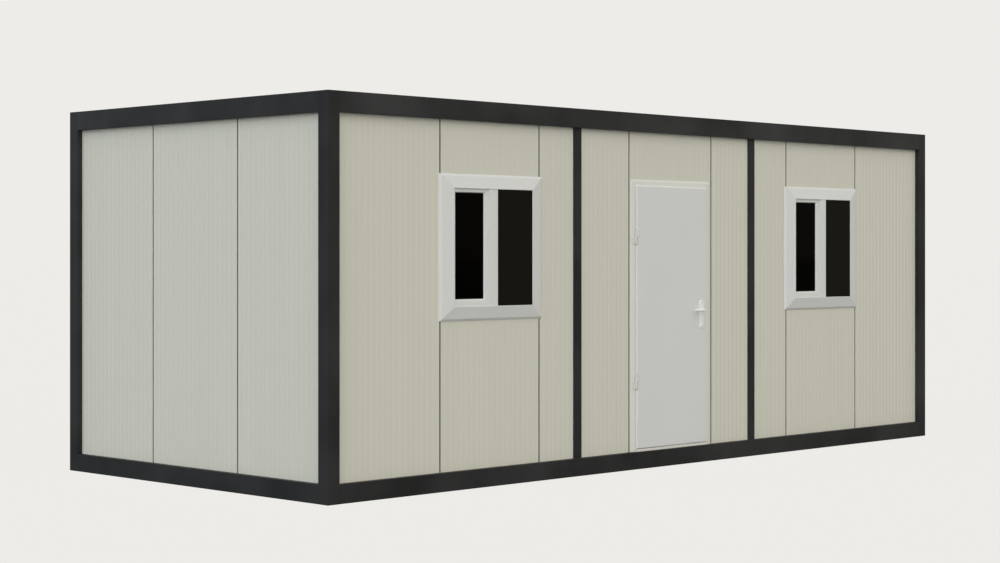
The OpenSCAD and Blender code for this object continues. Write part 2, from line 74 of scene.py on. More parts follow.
def linear(code):
    """Turns an sRGB hex colour into linear red, green, blue and alpha."""
    value = np.array([int(code[i : i + 2], 16) for i in (0, 2, 4)]) / 255
    value = np.where(value <= 0.04045, value / 12.92, ((value + 0.055) / 1.055) ** 2.4)
    return (*value.tolist(), 1.0)


def rounded(points, radius, steps=4):
    """Closed outline with its corners eased.

    Each corner P becomes the curve (1-s)^2 A + 2s(1-s) P + s^2 B, where A and B lie at the
    radius from P along its two sides. A radius may be given for each corner.
    """
    corner = np.asarray(points, float)
    before = np.roll(corner, 1, axis=0) - corner
    after = np.roll(corner, -1, axis=0) - corner
    reach = np.broadcast_to(np.asarray(radius, float), len(corner))[:, None]
    start = corner + before / np.linalg.norm(before, axis=1, keepdims=True) * reach
    end = corner + after / np.linalg.norm(after, axis=1, keepdims=True) * reach
    s = np.linspace(0, 1, steps + 1)[None, :, None]
    curve = (1 - s) ** 2 * start[:, None] + 2 * s * (1 - s) * corner[:, None]
    return (curve + s**2 * end[:, None]).reshape(-1, 2)


def box_outline(x0, x1, y0, y1):
    """Corners of an upright rectangle, anticlockwise."""
    return [(x0, y0), (x1, y0), (x1, y1), (x0, y1)]


def in_mm(*values):
    """Millimetres, or pairs of them, as an array in metres."""
    return np.array(values) * MM


def rings(grid, capped=True):
    """Shell over a grid of rings, indexed [ring, point]: quads between rings, and two caps."""
    count, size = grid.shape[:2]
    ring, point = np.meshgrid(np.arange(count - 1), np.arange(size), indexing="ij")
    after = (point + 1) % size
    quads = np.stack([ring * size + point, ring * size + after,
                      (ring + 1) * size + after, (ring + 1) * size + point], axis=-1)
    faces = quads.reshape(-1, 4).tolist()
    if capped:
        faces.append(list(range(size - 1, -1, -1)))
        faces.append(list(range((count - 1) * size, count * size)))
    return grid.reshape(-1, 3), faces


def carried(outline, axis, start, end):
    """Bar: a flat outline carried along one axis from start to end."""
    flat = np.asarray(outline, float)
    ring = np.stack([np.insert(flat, axis, place, axis=1) for place in (start, end)])
    return rings(ring)


def easing_rings(outline, axis, levels):
    """Plate built of rings: at each (height, inset) the outline is drawn in towards its middle
    by the inset, so that its rim is eased or domed."""
    flat = np.asarray(outline, float)
    middle = (flat.min(axis=0) + flat.max(axis=0)) / 2
    half = (flat.max(axis=0) - flat.min(axis=0)) / 2
    stack = [np.insert(middle + (flat - middle) * (1 - inset / half), axis, height, axis=1)
             for height, inset in levels]
    return rings(np.stack(stack))


def slab(sides, radius, axis, levels, steps=4):
    """Plate with rounded corners and an eased rim. Its sides are those of box_outline."""
    return easing_rings(rounded(box_outline(*sides), radius, steps), axis, levels)


def turned(profile, centre, axis, steps=RING_STEPS):
    """Turned shape: a profile of (radius, height) swept round an axis through the centre."""
    shape = np.asarray(profile, float)
    angle = np.linspace(0, 2 * math.pi, steps, endpoint=False)
    first, second = [a for a in range(3) if a != axis]
    grid = np.zeros((len(shape), steps, 3))
    grid[..., first] = shape[:, :1] * np.cos(angle)
    grid[..., second] = shape[:, :1] * np.sin(angle)
    grid[..., axis] = shape[:, 1:]
    return rings(grid + np.asarray(centre, float))


def mitred(outer, inner, section, sides=(0, 1, 2, 3), hairline=0.5 * MM):
    """Mitred frame from bars of one section.

    Each corner ring is outer + t (inner - outer) in X and Z for the section's (t, Y) points.
    A bar joins the rings of its two corners, and a hairline is left at each mitre. The
    rectangles are (x0, z0, x1, z1), and side 0 is the lowest, then round anticlockwise.
    """
    flat = np.asarray(section, float)
    out, inn = (np.array(box_outline(r[0], r[2], r[1], r[3])) for r in (outer, inner))
    place = out[:, None] + flat[None, :, :1] * (inn - out)[:, None]
    depth = np.broadcast_to(flat[:, 1], place.shape[:2])
    ring = np.stack([place[..., 0], depth, place[..., 1]], axis=-1)
    parts = []
    for side in sides:
        after = (side + 1) % 4
        along = (out[after] - out[side]) / np.linalg.norm(out[after] - out[side])
        shift = np.array([along[0], 0, along[1]]) * hairline / 2
        parts.append(rings(np.stack([ring[side] + shift, ring[after] - shift])))
    return joined(parts)


def swept(path, radius_level, radius_upright):
    """Bar round a path in a level plane.

    At each point an ellipse stands across the path: its level half-width lies along the
    path's normal and its other half-width along Z. The path's direction is its central
    difference.
    """
    line = np.asarray(path, float)
    ahead = np.gradient(line, axis=0)
    ahead /= np.linalg.norm(ahead, axis=1, keepdims=True)
    across = np.cross(ahead, [0, 0, 1])
    angle = np.linspace(0, 2 * math.pi, RING_STEPS, endpoint=False)[None, :, None]
    level = np.asarray(radius_level, float)[:, None, None] * np.cos(angle) * across[:, None]
    upright = np.asarray(radius_upright, float)[:, None, None] * np.sin(angle)
    return rings(line[:, None] + level + upright * np.array([0, 0, 1]))


def joined(parts):
    """One shell from several: their points end to end, their faces renumbered."""
    starts = np.cumsum([0] + [len(points) for points, _ in parts])
    faces = [[int(start) + i for i in face]
             for start, (_, shell) in zip(starts, parts) for face in shell]
    return np.concatenate([points for points, _ in parts]), faces


def repeated(part, places):
    """Copies of a shell at each place."""
    points, faces = part
    return joined([(points + np.asarray(place, float), faces) for place in places])


def shrunk(box, inset):
    """The rectangle (x0, z0, x1, z1) with every side moved inwards."""
    return (box[0] + inset, box[1] + inset, box[2] - inset, box[3] - inset)


def rim(outer, inner, front, back, ease):
    """Mitred frame with a flat front, whose front edges are eased by the given amount."""
    t = min(0.3, ease / min(abs(inner[k] - outer[k]) for k in range(4)))
    return mitred(outer, inner, [(0, back), (0, front + ease), (t * 0.3, front + ease * 0.3),
                                 (t, front), (1 - t, front), (1 - t * 0.3, front + ease * 0.3),
                                 (1, front + ease), (1, back)], hairline=0.3 * MM)


def bead(outer, inner, front, back):
    """Glazing bead: a hollow slope from a sash's face at the front down to the pane."""
    fall = back - front
    return mitred(outer, inner, [(0, back), (0, front + 0.8 * MM), (0.08, front + 0.2 * MM),
                                 (0.2, front + 0.08 * fall), (0.55, front + 0.45 * fall),
                                 (0.92, front + 0.8 * fall), (1, front + 0.9 * fall),
                                 (1, back)], hairline=0.3 * MM)


def quarter_turns(part, turns):
    """The shell turned about the Z axis by a number of quarter turns."""
    points, faces = part
    x, y, z = points.T
    for _ in range(turns % 4):
        x, y = -y, x
    return np.stack([x, y, z], axis=1), faces


def panel_shell(xs, face_y, back_y, zs, hole=None):
    """Panel from a profiled face and a flat back, both on one grid of columns and rows.

    A cell inside the hole is left out. Wherever a cell meets no neighbour, a quad joins the
    face to the back, which closes the panel's edges and the hole's sides.
    """
    columns, rows = len(xs), len(zs)
    grid_x, grid_z = np.meshgrid(xs, zs, indexing="ij")
    face = np.stack([grid_x, np.broadcast_to(face_y[:, None], grid_x.shape), grid_z], axis=-1)
    back = np.stack([grid_x, np.full(grid_x.shape, back_y), grid_z], axis=-1)
    points = np.concatenate([face.reshape(-1, 3), back.reshape(-1, 3)])
    index = np.arange(columns * rows).reshape(columns, rows)
    behind = columns * rows
    solid = np.ones((columns + 1, rows + 1), bool)
    solid[[0, -1]] = False
    solid[:, [0, -1]] = False
    if hole is not None:
        mid_x = (xs[1:] + xs[:-1]) / 2
        mid_z = (zs[1:] + zs[:-1]) / 2
        across = (mid_x > hole[0]) & (mid_x < hole[2])
        upwards = (mid_z > hole[1]) & (mid_z < hole[3])
        solid[1:-1, 1:-1] &= ~(across[:, None] & upwards)
    cell = solid[1:-1, 1:-1]
    corner = [index[:-1, :-1], index[1:, :-1], index[1:, 1:], index[:-1, 1:]]
    front = np.stack([c[cell] for c in corner], axis=-1)
    rear = front[:, ::-1] + behind
    upright = solid[1:, 1:-1] != solid[:-1, 1:-1]
    low, high = index[:, :-1][upright], index[:, 1:][upright]
    sides = np.stack([low, high, high + behind, low + behind], axis=-1)
    level = solid[1:-1, 1:] != solid[1:-1, :-1]
    left, right = index[:-1][level], index[1:][level]
    ends = np.stack([left, right, right + behind, left + behind], axis=-1)
    return points, np.concatenate([front, rear, sides, ends]).tolist()


def piece(name, part, material, body, replaced=(), crease=32):
    """Makes the object: doubles merged, faces turned outwards, edges creased past an angle."""
    points, faces = part
    mesh = bpy.data.meshes.new(name)
    mesh.from_pydata(points.tolist(), [], faces)
    form = bmesh.new()
    form.from_mesh(mesh)
    bmesh.ops.remove_doubles(form, verts=form.verts, dist=WELD)
    bmesh.ops.recalc_face_normals(form, faces=form.faces)
    form.to_mesh(mesh)
    form.free()
    mesh.polygons.foreach_set("use_smooth", np.ones(len(mesh.polygons), bool))
    mesh.set_sharp_from_angle(angle=math.radians(crease))
    mesh.materials.append(material)
    made = bpy.data.objects.new(name, mesh)
    bpy.context.scene.collection.objects.link(made)
    even = made.modifiers.new("even_shading", "WEIGHTED_NORMAL")
    even.keep_sharp = True
    even.weight = 100
    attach(made, body)
    if replaced:
        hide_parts(*replaced)
    return made


def dress(material, *nodes):
    """Gives CAD nodes a finish."""
    for name in nodes:
        mesh = frame["nodes"][name].data
        mesh.materials.clear()
        mesh.materials.append(material)


# ---------------------------------------------------------------- finishes


def add_node(tree, kind, inputs=None, **settings):
    """Adds a node, sets its settings, and fills or links its inputs by name or number."""
    node = tree.nodes.new(kind)
    for name, value in settings.items():
        setattr(node, name, value)
    for key, value in (inputs or {}).items():
        if isinstance(value, bpy.types.NodeSocket):
            tree.links.new(value, node.inputs[key])
        else:
            node.inputs[key].default_value = value
    return node


def new_finish(name):
    """An empty material, its tree and the coordinates on the piece."""
    material = bpy.data.materials.new(name)
    material.use_nodes = True
    tree = material.node_tree
    tree.nodes.clear()
    return material, tree, add_node(tree, "ShaderNodeTexCoord").outputs["Object"]


def stretched(tree, place, scale):
    """The coordinates scaled by an amount for each axis."""
    return add_node(tree, "ShaderNodeMapping", {"Vector": place, "Scale": scale}).outputs[0]


def noise(tree, place, scale, detail):
    """Cloudy noise from 0 to 1."""
    inputs = {"Vector": place, "Scale": scale, "Detail": detail}
    return add_node(tree, "ShaderNodeTexNoise", inputs).outputs["Fac"]


def cells(tree, place, scale):
    """Cells like crystals or chips: one random number, and another, for each cell."""
    found = add_node(tree, "ShaderNodeTexVoronoi", {"Vector": place, "Scale": scale})
    return add_node(tree, "ShaderNodeSeparateColor", {"Color": found.outputs["Color"]}).outputs


def ranged(tree, value, start, end, first=0.0, last=1.0):
    """Carries the span from start to end over to the span from first to last."""
    inputs = {"Value": value, "From Min": start, "From Max": end, "To Min": first, "To Max": last}
    return add_node(tree, "ShaderNodeMapRange", inputs).outputs[0]


def sum_of(tree, operation, *values):
    """The result of one sum on one or two values."""
    return add_node(tree, "ShaderNodeMath", dict(enumerate(values)), operation=operation).outputs[0]


def mixed(tree, share, without, full):
    """A colour between two, by its share of the second."""
    inputs = {0: share, 6: without, 7: full}
    return add_node(tree, "ShaderNodeMix", inputs, data_type="RGBA").outputs[2]


def surface(material, colour, roughness, relief=None, **others):
    """Gives the material its shader. Relief is a strength, a distance in mm and a height."""
    tree = material.node_tree
    names = {"specular": "Specular IOR Level", "ior": "IOR", "metallic": "Metallic"}
    inputs = {"Base Color": colour, "Roughness": roughness}
    inputs.update({names[key]: value for key, value in others.items()})
    if relief:
        strength, distance, height = relief
        bump = {"Strength": strength, "Distance": distance * MM, "Height": height}
        inputs["Normal"] = add_node(tree, "ShaderNodeBump", bump).outputs[0]
    shader = add_node(tree, "ShaderNodeBsdfPrincipled", inputs)
    add_node(tree, "ShaderNodeOutputMaterial", {"Surface": shader.outputs["BSDF"]})
    return material


def coil_coated_steel(name, colour, shade, rough):
    """Coil-coated steel skin of a panel: even satin paint with a faint drift in its shade from
    the coil's length, and a fine orange peel drawn a little coarse so that it shows."""
    material, tree, place = new_finish(name)
    drift = noise(tree, stretched(tree, place, (9.0, 9.0, 0.35)), 1.0, 4.0)
    tone = mixed(tree, ranged(tree, drift, 0.3, 0.7), shade, colour)
    gloss = ranged(tree, drift, 0.0, 1.0, rough - 0.05, rough + 0.05)
    peel = noise(tree, place, 320.0, 2.0)
    return surface(material, tone, gloss, (0.12, 0.4, peel), specular=0.35)


def powder_coated_steel(name, colour, worn):
    """Powder-coated steel section: dark satin with a fine pebbled skin, and a slightly paler
    film of dust that gathers in soft patches."""
    material, tree, place = new_finish(name)
    patch = noise(tree, place, 1.7, 5.0)
    tone = mixed(tree, ranged(tree, patch, 0.35, 0.75), colour, worn)
    gloss = ranged(tree, patch, 0.0, 1.0, 0.42, 0.6)
    pebble = noise(tree, place, 450.0, 1.0)
    return surface(material, tone, gloss, (0.25, 0.3, pebble), specular=0.22)


def sprayed_door_paint(name, colour, shade):
    """Sprayed enamel on pressed steel: smooth satin white with a faint ripple of the spray."""
    material, tree, place = new_finish(name)
    tone = mixed(tree, noise(tree, place, 2.2, 3.0), shade, colour)
    ripple = noise(tree, place, 240.0, 2.0)
    return surface(material, tone, 0.4, (0.1, 0.4, ripple), specular=0.4)


def extruded_pvc(name, colour, shade):
    """Extruded rigid PVC: clean white with a soft sheen, and hair-fine die lines."""
    material, tree, place = new_finish(name)
    tone = mixed(tree, noise(tree, place, 3.0, 3.0), shade, colour)
    grain = noise(tree, place, 600.0, 1.0)
    return surface(material, tone, 0.36, (0.06, 0.3, grain), ior=1.53, specular=0.4)


def tinted_glass(name, colour):
    """Dark tinted float glass: almost black from outside, with a faint waviness from the
    rollers that toughened it."""
    material, tree, place = new_finish(name)
    wave = noise(tree, place, 4.0, 1.0)
    return surface(material, colour, 0.04, (0.05, 1.0, wave), ior=1.5, specular=0.02)


def woven_screen(name, thread, gap):
    """Woven fly screen of coated glass fibre: a grid of threads every 1.6 mm, drawn at 5 mm so
    that it shows, over a near-black pane."""
    material, tree, place = new_finish(name)
    axes = add_node(tree, "ShaderNodeSeparateXYZ", {"Vector": place}).outputs
    waves = [sum_of(tree, "COSINE", sum_of(tree, "MULTIPLY", axes[axis], 2 * math.pi / (5 * MM)))
             for axis in ("X", "Z")]
    weave = sum_of(tree, "MAXIMUM", *waves)
    tone = mixed(tree, ranged(tree, weave, 0.3, 0.9), gap, thread)
    return surface(material, tone, 0.55, (0.4, 0.6, weave), specular=0.06)


def zinc_coated_steel(name, pale, dark):
    """Hot-dip galvanised sheet: crystals about 12 mm across in pale and darker greys, with a
    soft metallic sheen that changes from crystal to crystal."""
    material, tree, place = new_finish(name)
    crystal = cells(tree, place, 1 / (12 * MM))[0]
    tone = mixed(tree, sum_of(tree, "MULTIPLY", crystal, noise(tree, place, 1.3, 5.0)), dark, pale)
    gloss = ranged(tree, crystal, 0.0, 1.0, 0.38, 0.58)
    return surface(material, tone, gloss, (0.08, 0.3, crystal), metallic=0.85)


def pressed_board(name, pale, dark):
    """Pressed wood-chip board: chips 6 to 20 mm long in warm browns, matt and a little rough."""
    material, tree, place = new_finish(name)
    chip = cells(tree, stretched(tree, place, (60.0, 130.0, 60.0)), 1.0)
    return surface(material, mixed(tree, chip[0], dark, pale), 0.8, (0.4, 0.6, chip[1]))


def flecked_vinyl(name, ground, fleck):
    """Calendered vinyl flooring: mid grey with flecks of 3 to 5 mm and a satin wear layer."""
    material, tree, place = new_finish(name)
    spots = add_node(tree, "ShaderNodeTexVoronoi", {"Vector": place, "Scale": 1 / (14 * MM)})
    mask = ranged(tree, spots.outputs["Distance"], 0.12, 0.2, 1.0, 0.0)
    cloud = noise(tree, place, 9.0, 6.0)
    tone = mixed(tree, sum_of(tree, "MULTIPLY", mask, cloud), ground, fleck)
    return surface(material, tone, 0.42, (0.1, 0.3, cloud))


def moulded_rubber(name, colour, bloom):
    """EPDM sealing rubber: matt, with a paler bloom in patches."""
    material, tree, place = new_finish(name)
    tone = mixed(tree, noise(tree, place, 30.0, 3.0), colour, bloom)
    return surface(material, tone, 0.75, specular=0.2)


def satin_nickel(name, pale, dark):
    """Satin nickel plate: fine brushing in one direction under a warm grey metal."""
    material, tree, place = new_finish(name)
    lines = noise(tree, stretched(tree, place, (40.0, 40.0, 1500.0)), 1.0, 2.0)
    return surface(material, mixed(tree, lines, dark, pale), 0.34, (0.15, 0.1, lines), metallic=1.0)


def studio_floor(name, backdrop, light):
    """Plain matt floor: it shows the backdrop's own colour with a trace of the cabin's shadow,
    and sends a part of its light back up."""
    material, tree, _ = new_finish(name)
    seen = add_node(tree, "ShaderNodeLightPath").outputs["Is Camera Ray"]
    matt = add_node(tree, "ShaderNodeBsdfDiffuse", {"Color": (light.floor,) * 3 + (1.0,)})
    plain = add_node(tree, "ShaderNodeEmission", {"Color": backdrop, "Strength": 1.04})
    share = sum_of(tree, "MULTIPLY", seen, 1 - light.shadow)
    both = add_node(tree, "ShaderNodeMixShader",
                    {0: share, 1: matt.outputs[0], 2: plain.outputs[0]})
    add_node(tree, "ShaderNodeOutputMaterial", {"Surface": both.outputs[0]})
    return material


def finish(key):
    """The finish of that name, made once from the colours in the settings."""
    found = bpy.data.materials.get(key)
    if found:
        return found
    c = {name: (*getattr(bpy.context.scene.cabin_colours, name), 1.0)
         for name in CabinColours.__annotations__}
    recipes = {
        "powder_coated_steel": (powder_coated_steel, c["frame"], linear("353536")),
        # Painted light: the top rails' coat is paler than the posts' coat, a stand-in for the
        # brighter light that falls high on the cabin.
        "top_rail_coat_painted_paler": (powder_coated_steel, c["top_rails"], linear("3b3b3c")),
        "coil_coated_steel": (coil_coated_steel, c["wall"], c["wall_shade"], 0.5),
        "inner_coil_coated_steel": (coil_coated_steel, c["inside"], linear("dcdcd6"), 0.55),
        "sprayed_door_paint": (sprayed_door_paint, c["door"], c["door_shade"]),
        "sprayed_frame_paint": (sprayed_door_paint, c["door_frame"], linear("e5e4dc")),
        "extruded_pvc": (extruded_pvc, c["pvc"], c["pvc_shade"]),
        "extruded_pvc_trim": (extruded_pvc, c["trim"], linear("e0e0de")),
        "injection_moulded_nylon": (extruded_pvc, linear("f6f6f3"), linear("f2f2ef")),
        "tinted_glass": (tinted_glass, c["glass"]),
        "woven_screen": (woven_screen, c["screen"], linear("0a0906")),
        "zinc_coated_steel": (zinc_coated_steel, c["zinc"], linear("8b9093")),
        "pressed_board": (pressed_board, linear("a88c63"), linear("6d5335")),
        "flecked_vinyl": (flecked_vinyl, linear("767879"), linear("b5b5b0")),
        "moulded_rubber": (moulded_rubber, linear("141414"), linear("2a2a29")),
        "pale_rubber": (moulded_rubber, linear("dcdbd6"), linear("e6e5e0")),
        "satin_nickel": (satin_nickel, linear("c9c5bd"), linear("9b968e")),
    }
    maker, *inputs = recipes[key]
    return maker(key, *inputs)


# ---------------------------------------------------------------- settings


def length(name, description, default):
    """Setting of a size, its default given in millimetres."""
    return bpy.props.FloatProperty(name=name, description=description, default=default * MM,
                                   subtype="DISTANCE", unit="LENGTH")


def colour(name, description, default):
    """Setting of a colour, its default given as sRGB hex."""
    return bpy.props.FloatVectorProperty(name=name, description=description, subtype="COLOR",
                                         default=linear(default)[:3])


def amount(name, description, default, **limits):
    """Setting of a plain number."""
    return bpy.props.FloatProperty(name=name, description=description, default=default, **limits)


class CabinColours(bpy.types.PropertyGroup):
    """Base colours of the finishes."""

    frame: colour("Frame", "Powder coat of the posts and rails", "212122")
    # Painted light: the top rails are drawn paler than the rest of the frame, a stand-in for the
    # brighter light high up, not weathering.
    top_rails: colour("Top rails", "Powder coat of the top rails, more weathered", "252526")
    wall: colour("Wall", "Paint of the wall panels' outer skins", "dcdacc")
    wall_shade: colour("Wall shade", "Darker drift of the wall paint", "dad8ca")
    inside: colour("Inside", "Paint of the ceiling and inner skins", "e6e6e0")
    door: colour("Door", "Paint of the door's leaf", "e4e4e3")
    door_shade: colour("Door shade", "Darker drift of the door paint", "e1e1e0")
    pvc: colour("Window plastic", "Colour of the window frames and sashes", "e5e5e3")
    pvc_shade: colour("Window plastic shade", "Darker drift of the window plastic", "e2e2e0")
    trim: colour("Window trim", "Colour of the sloped trims round the windows", "e3e3e1")
    door_frame: colour("Door frame", "Paint of the frame round the door", "e9e8e0")
    glass: colour("Glass", "Tint of the panes", "030201")
    screen: colour("Screen", "Thread of the fly screens", "1e1b16")
    zinc: colour("Zinc", "Bright crystals of the galvanised sheet", "c4c8ca")


class FrameSizes(bpy.types.PropertyGroup):
    """Sizes of the steel frame's sections."""

    corner_radius: length("Corner radius", "Rounding of the posts' long edges", 2)
    fold_radius: length("Fold radius", "Rounding of the rails' folds", 4)
    wall: length("Steel thickness", "Wall of the rails", 4)
    lip: length("Lip", "Inner lip that stiffens a rail", 14)
    strip_width: length("Strip width", "Width of the strips before the long walls", 80)
    strip_wall: length("Strip thickness", "Wall of those strips", 3)


class PanelSizes(bpy.types.PropertyGroup):
    """Sizes of the ribbed wall panels."""

    count: bpy.props.IntProperty(
        name="Panels", description="Panels along a long wall", default=7, min=1)
    lap: length("Lap", "How far the end panels' module runs behind a post", 50)
    seam: length("Seam", "Depth of the groove between two panels", 8)
    seam_left: length("Seam to the left", "That groove's reach into the left panel", 4)
    seam_right: length("Seam to the right", "That groove's reach into the right panel", 8)
    grooves: bpy.props.IntProperty(
        name="Grooves", description="Pressed grooves across one whole panel", default=19, min=1)
    groove_width: length("Groove width", "Width of a groove at its mouth", 22)
    groove_depth: length("Groove depth", "Depth of a groove in the long walls", 1.1)
    end_groove_depth: length("End groove depth", "Depth of a groove in the end walls", 1.45)
    seam_shift: length("Seam shift", "How far the long walls' seams sit right of the joints", 3.5)
    seal_depth: length("Seal depth", "How far the rubber strips lie below the face", 2.6)


class WindowSizes(bpy.types.PropertyGroup):
    """Sizes of the sliding windows. Depths run back from the wall's outer face, and edges are
    measured to the right from the window's middle."""

    light_width: length("Opening width", "Opening inside the trim", 774)
    light_height: length("Opening height", "Opening inside the trim", 820)
    hole: length("Wall hole", "Width and height of the hole in the panel", 904)
    frame_step: length("Frame step", "How far the frame shows inside the trim", 10)
    collar: length("Frame depth", "Front of the frame", -24)
    face: length("Sash depth", "Front of the front sash", -22)
    glass: length("Pane depth", "Front of the front pane", -8)
    bar: length("Bar depth", "Front of the meeting bar", -30)
    bar_left: length("Bar edge", "Left edge of the meeting bar", -46)
    stile_right: length("Stile edge", "Right edge of the front sash", 79)
    glass_right: length("Glass edge", "Right edge of the front pane", -86)
    bead: length("Bead", "Width of the sloped bead beside and under the front pane", 12)
    screen_left: length("Screen edge", "Left edge of the screen", 39)
    rear_rail: length("Rear rail", "Width of the rear sash's members", 35)


class DoorSizes(bpy.types.PropertyGroup):
    """Sizes of the door."""

    gap: length("Gap", "Clearance round the leaf", 5)
    hole: length("Wall hole", "Width of the hole in the panel", 900)
    lip: length("Lip", "How far the leaf's lip reaches past its edges", 8)
    lip_bevel: length("Lip bevel", "Width of the slope round the leaf's face", 10)
    stop: length("Stop", "Width of the stop behind the leaf", 20)
    hinge_half: length("Hinge half", "Height of one half of a hinge", 55)
    knuckle: length("Knuckle", "Radius of the hinges' knuckles", 8)
    edge_radius: length("Edge radius", "Rounding of the leaf's folded edges", 2.5)
    plate_radius: length("Plate radius", "Rounding of the handle plates' corners", 14)
    lever_bend: length("Lever bend", "Radius of the lever's turn out of its neck", 22)


class StudioLight(bpy.types.PropertyGroup):
    """Camera and light of the studio."""

    backdrop: colour("Backdrop", "Colour that surrounds the cabin and its floor", "eeece8")
    fill: amount("Fill", "Strength of the light from all round", 0.455)
    floor: amount("Floor bounce", "Share of its light that the floor sends back up", 0.26,
                  min=0, max=1, subtype="FACTOR")
    shadow: amount("Floor shadow", "How much of the cabin's shadow the floor shows", 0.06,
                   min=0, max=1, subtype="FACTOR")
    key: amount("Key lamp", "Strength of the lamp above the nearest corner", 2.13)
    warm: amount("Warm lamp", "Strength of the lamp before the front", 0.28)
    cool: amount("Cool lamp", "Strength of the lamp beside the left end", 0.42)
    lens: amount("Lens", "Focal length in millimetres", 71.924)
    shift: amount("Shift", "Upright shift that keeps the posts parallel", -0.02884)
    eye: bpy.props.FloatVectorProperty(
        name="Eye", description="Place of the camera", subtype="TRANSLATION",
        default=(-11.911, -11.4205, 1.6418))
    turn: amount("Turn", "Heading of the level camera about Z", math.radians(-45.213),
                 subtype="ANGLE", unit="ROTATION")


# ---------------------------------------------------------------- places on the frame


def low(node):
    """Lowest corner of a CAD node."""
    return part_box(node)[0]


def high(node):
    """Highest corner of a CAD node."""
    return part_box(node)[1]


def joint_place(name):
    """Where a joint's axis stands."""
    return next(joint for joint in frame["joints"] if joint["name"] == name)["pos_m"]


def window_middles():
    """Middles of the two windows on the wall's outer face: the trims are square."""
    left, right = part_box("window_trims")
    half = (right.z - left.z) / 2
    y = low("front_panel_1").y
    return [(left.x + half, y, left.z + half), (right.x - half, y, left.z + half)]


def centred(width, height, x=0.0, z=0.0):
    """A rectangle about a middle, as (x0, z0, x1, z1)."""
    return (x - width / 2, z - height / 2, x + width / 2, z + height / 2)


# ---------------------------------------------------------------- operators


class CABIN_OT_stage(bpy.types.Operator):
    """Makes the camera, the studio's light and its floor."""

    bl_idname = "cabin.stage"
    bl_label = "Stage"

    def execute(self, context):
        light = context.scene.studio_light
        context.scene.view_settings.view_transform = "Standard"
        lens = bpy.data.cameras.new("camera")
        lens.lens = light.lens
        lens.shift_y = light.shift
        lens.clip_end = 500
        camera = bpy.data.objects.new("camera", lens)
        camera.location = light.eye
        camera.rotation_euler = (math.radians(90), 0, light.turn)
        context.scene.collection.objects.link(camera)
        context.scene.camera = camera

        world = bpy.data.worlds.new("studio")
        context.scene.world = world
        world.use_nodes = True
        tree = world.node_tree
        tree.nodes.clear()
        seen = add_node(tree, "ShaderNodeLightPath").outputs["Is Camera Ray"]
        backdrop = (*light.backdrop, 1.0)
        white = linear("ffffff")
        lit = add_node(tree, "ShaderNodeBackground", {"Color": white, "Strength": light.fill})
        plain = add_node(tree, "ShaderNodeBackground", {"Color": backdrop, "Strength": 1.0})
        both = add_node(tree, "ShaderNodeMixShader",
                        {0: seen, 1: lit.outputs[0], 2: plain.outputs[0]})
        add_node(tree, "ShaderNodeOutputWorld", {"Surface": both.outputs[0]})
        self.lamp(context, "key_lamp", light.key, white, (-0.627, -0.521, 0.579), 110)
        self.lamp(context, "warm_lamp", light.warm, linear("ffe461"), (0.15, -1.0, 0.1), 120)
        self.lamp(context, "cool_lamp", light.cool, linear("4fc3ff"), (-1.0, 0.15, 0.1), 120)

        corners = box_outline(-FLOOR_REACH, FLOOR_REACH, -FLOOR_REACH, FLOOR_REACH)
        mesh = bpy.data.meshes.new("floor")
        mesh.from_pydata([(x, y, 0) for x, y in corners], [], [(0, 1, 2, 3)])
        mesh.materials.append(studio_floor("studio_floor", backdrop, light))
        floor = bpy.data.objects.new("floor", mesh)
        context.scene.collection.objects.link(floor)
        return {"FINISHED"}

    def lamp(self, context, name, energy, colour, towards, spread):
        """A soft lamp that shines from one side, as wide in degrees as its spread."""
        lamp = bpy.data.lights.new(name, "SUN")
        lamp.energy = energy
        lamp.angle = math.radians(spread)
        lamp.color = colour[:3]
        made = bpy.data.objects.new(name, lamp)
        made.rotation_euler = Vector(towards).to_track_quat("Z", "Y").to_euler()
        context.scene.collection.objects.link(made)


def rail_outline(height, depth, sizes):
    """Section of a rail in (Y, Z): a channel folded from sheet, its outer face at Y 0, with
    both flanges turned inwards and a lip on each."""
    t, lip = sizes.wall, sizes.lip
    points = [(0, 0), (depth, 0), (depth, lip), (depth - t, lip), (depth - t, t), (t, t),
              (t, height - t), (depth - t, height - t), (depth - t, height - lip),
              (depth, height - lip), (depth, height), (0, height)]
    outer, inner = sizes.fold_radius, sizes.fold_radius * 0.4
    half = [outer, inner, inner * 0.5, inner * 0.5, inner, inner]
    return rounded(points, half + half[::-1])


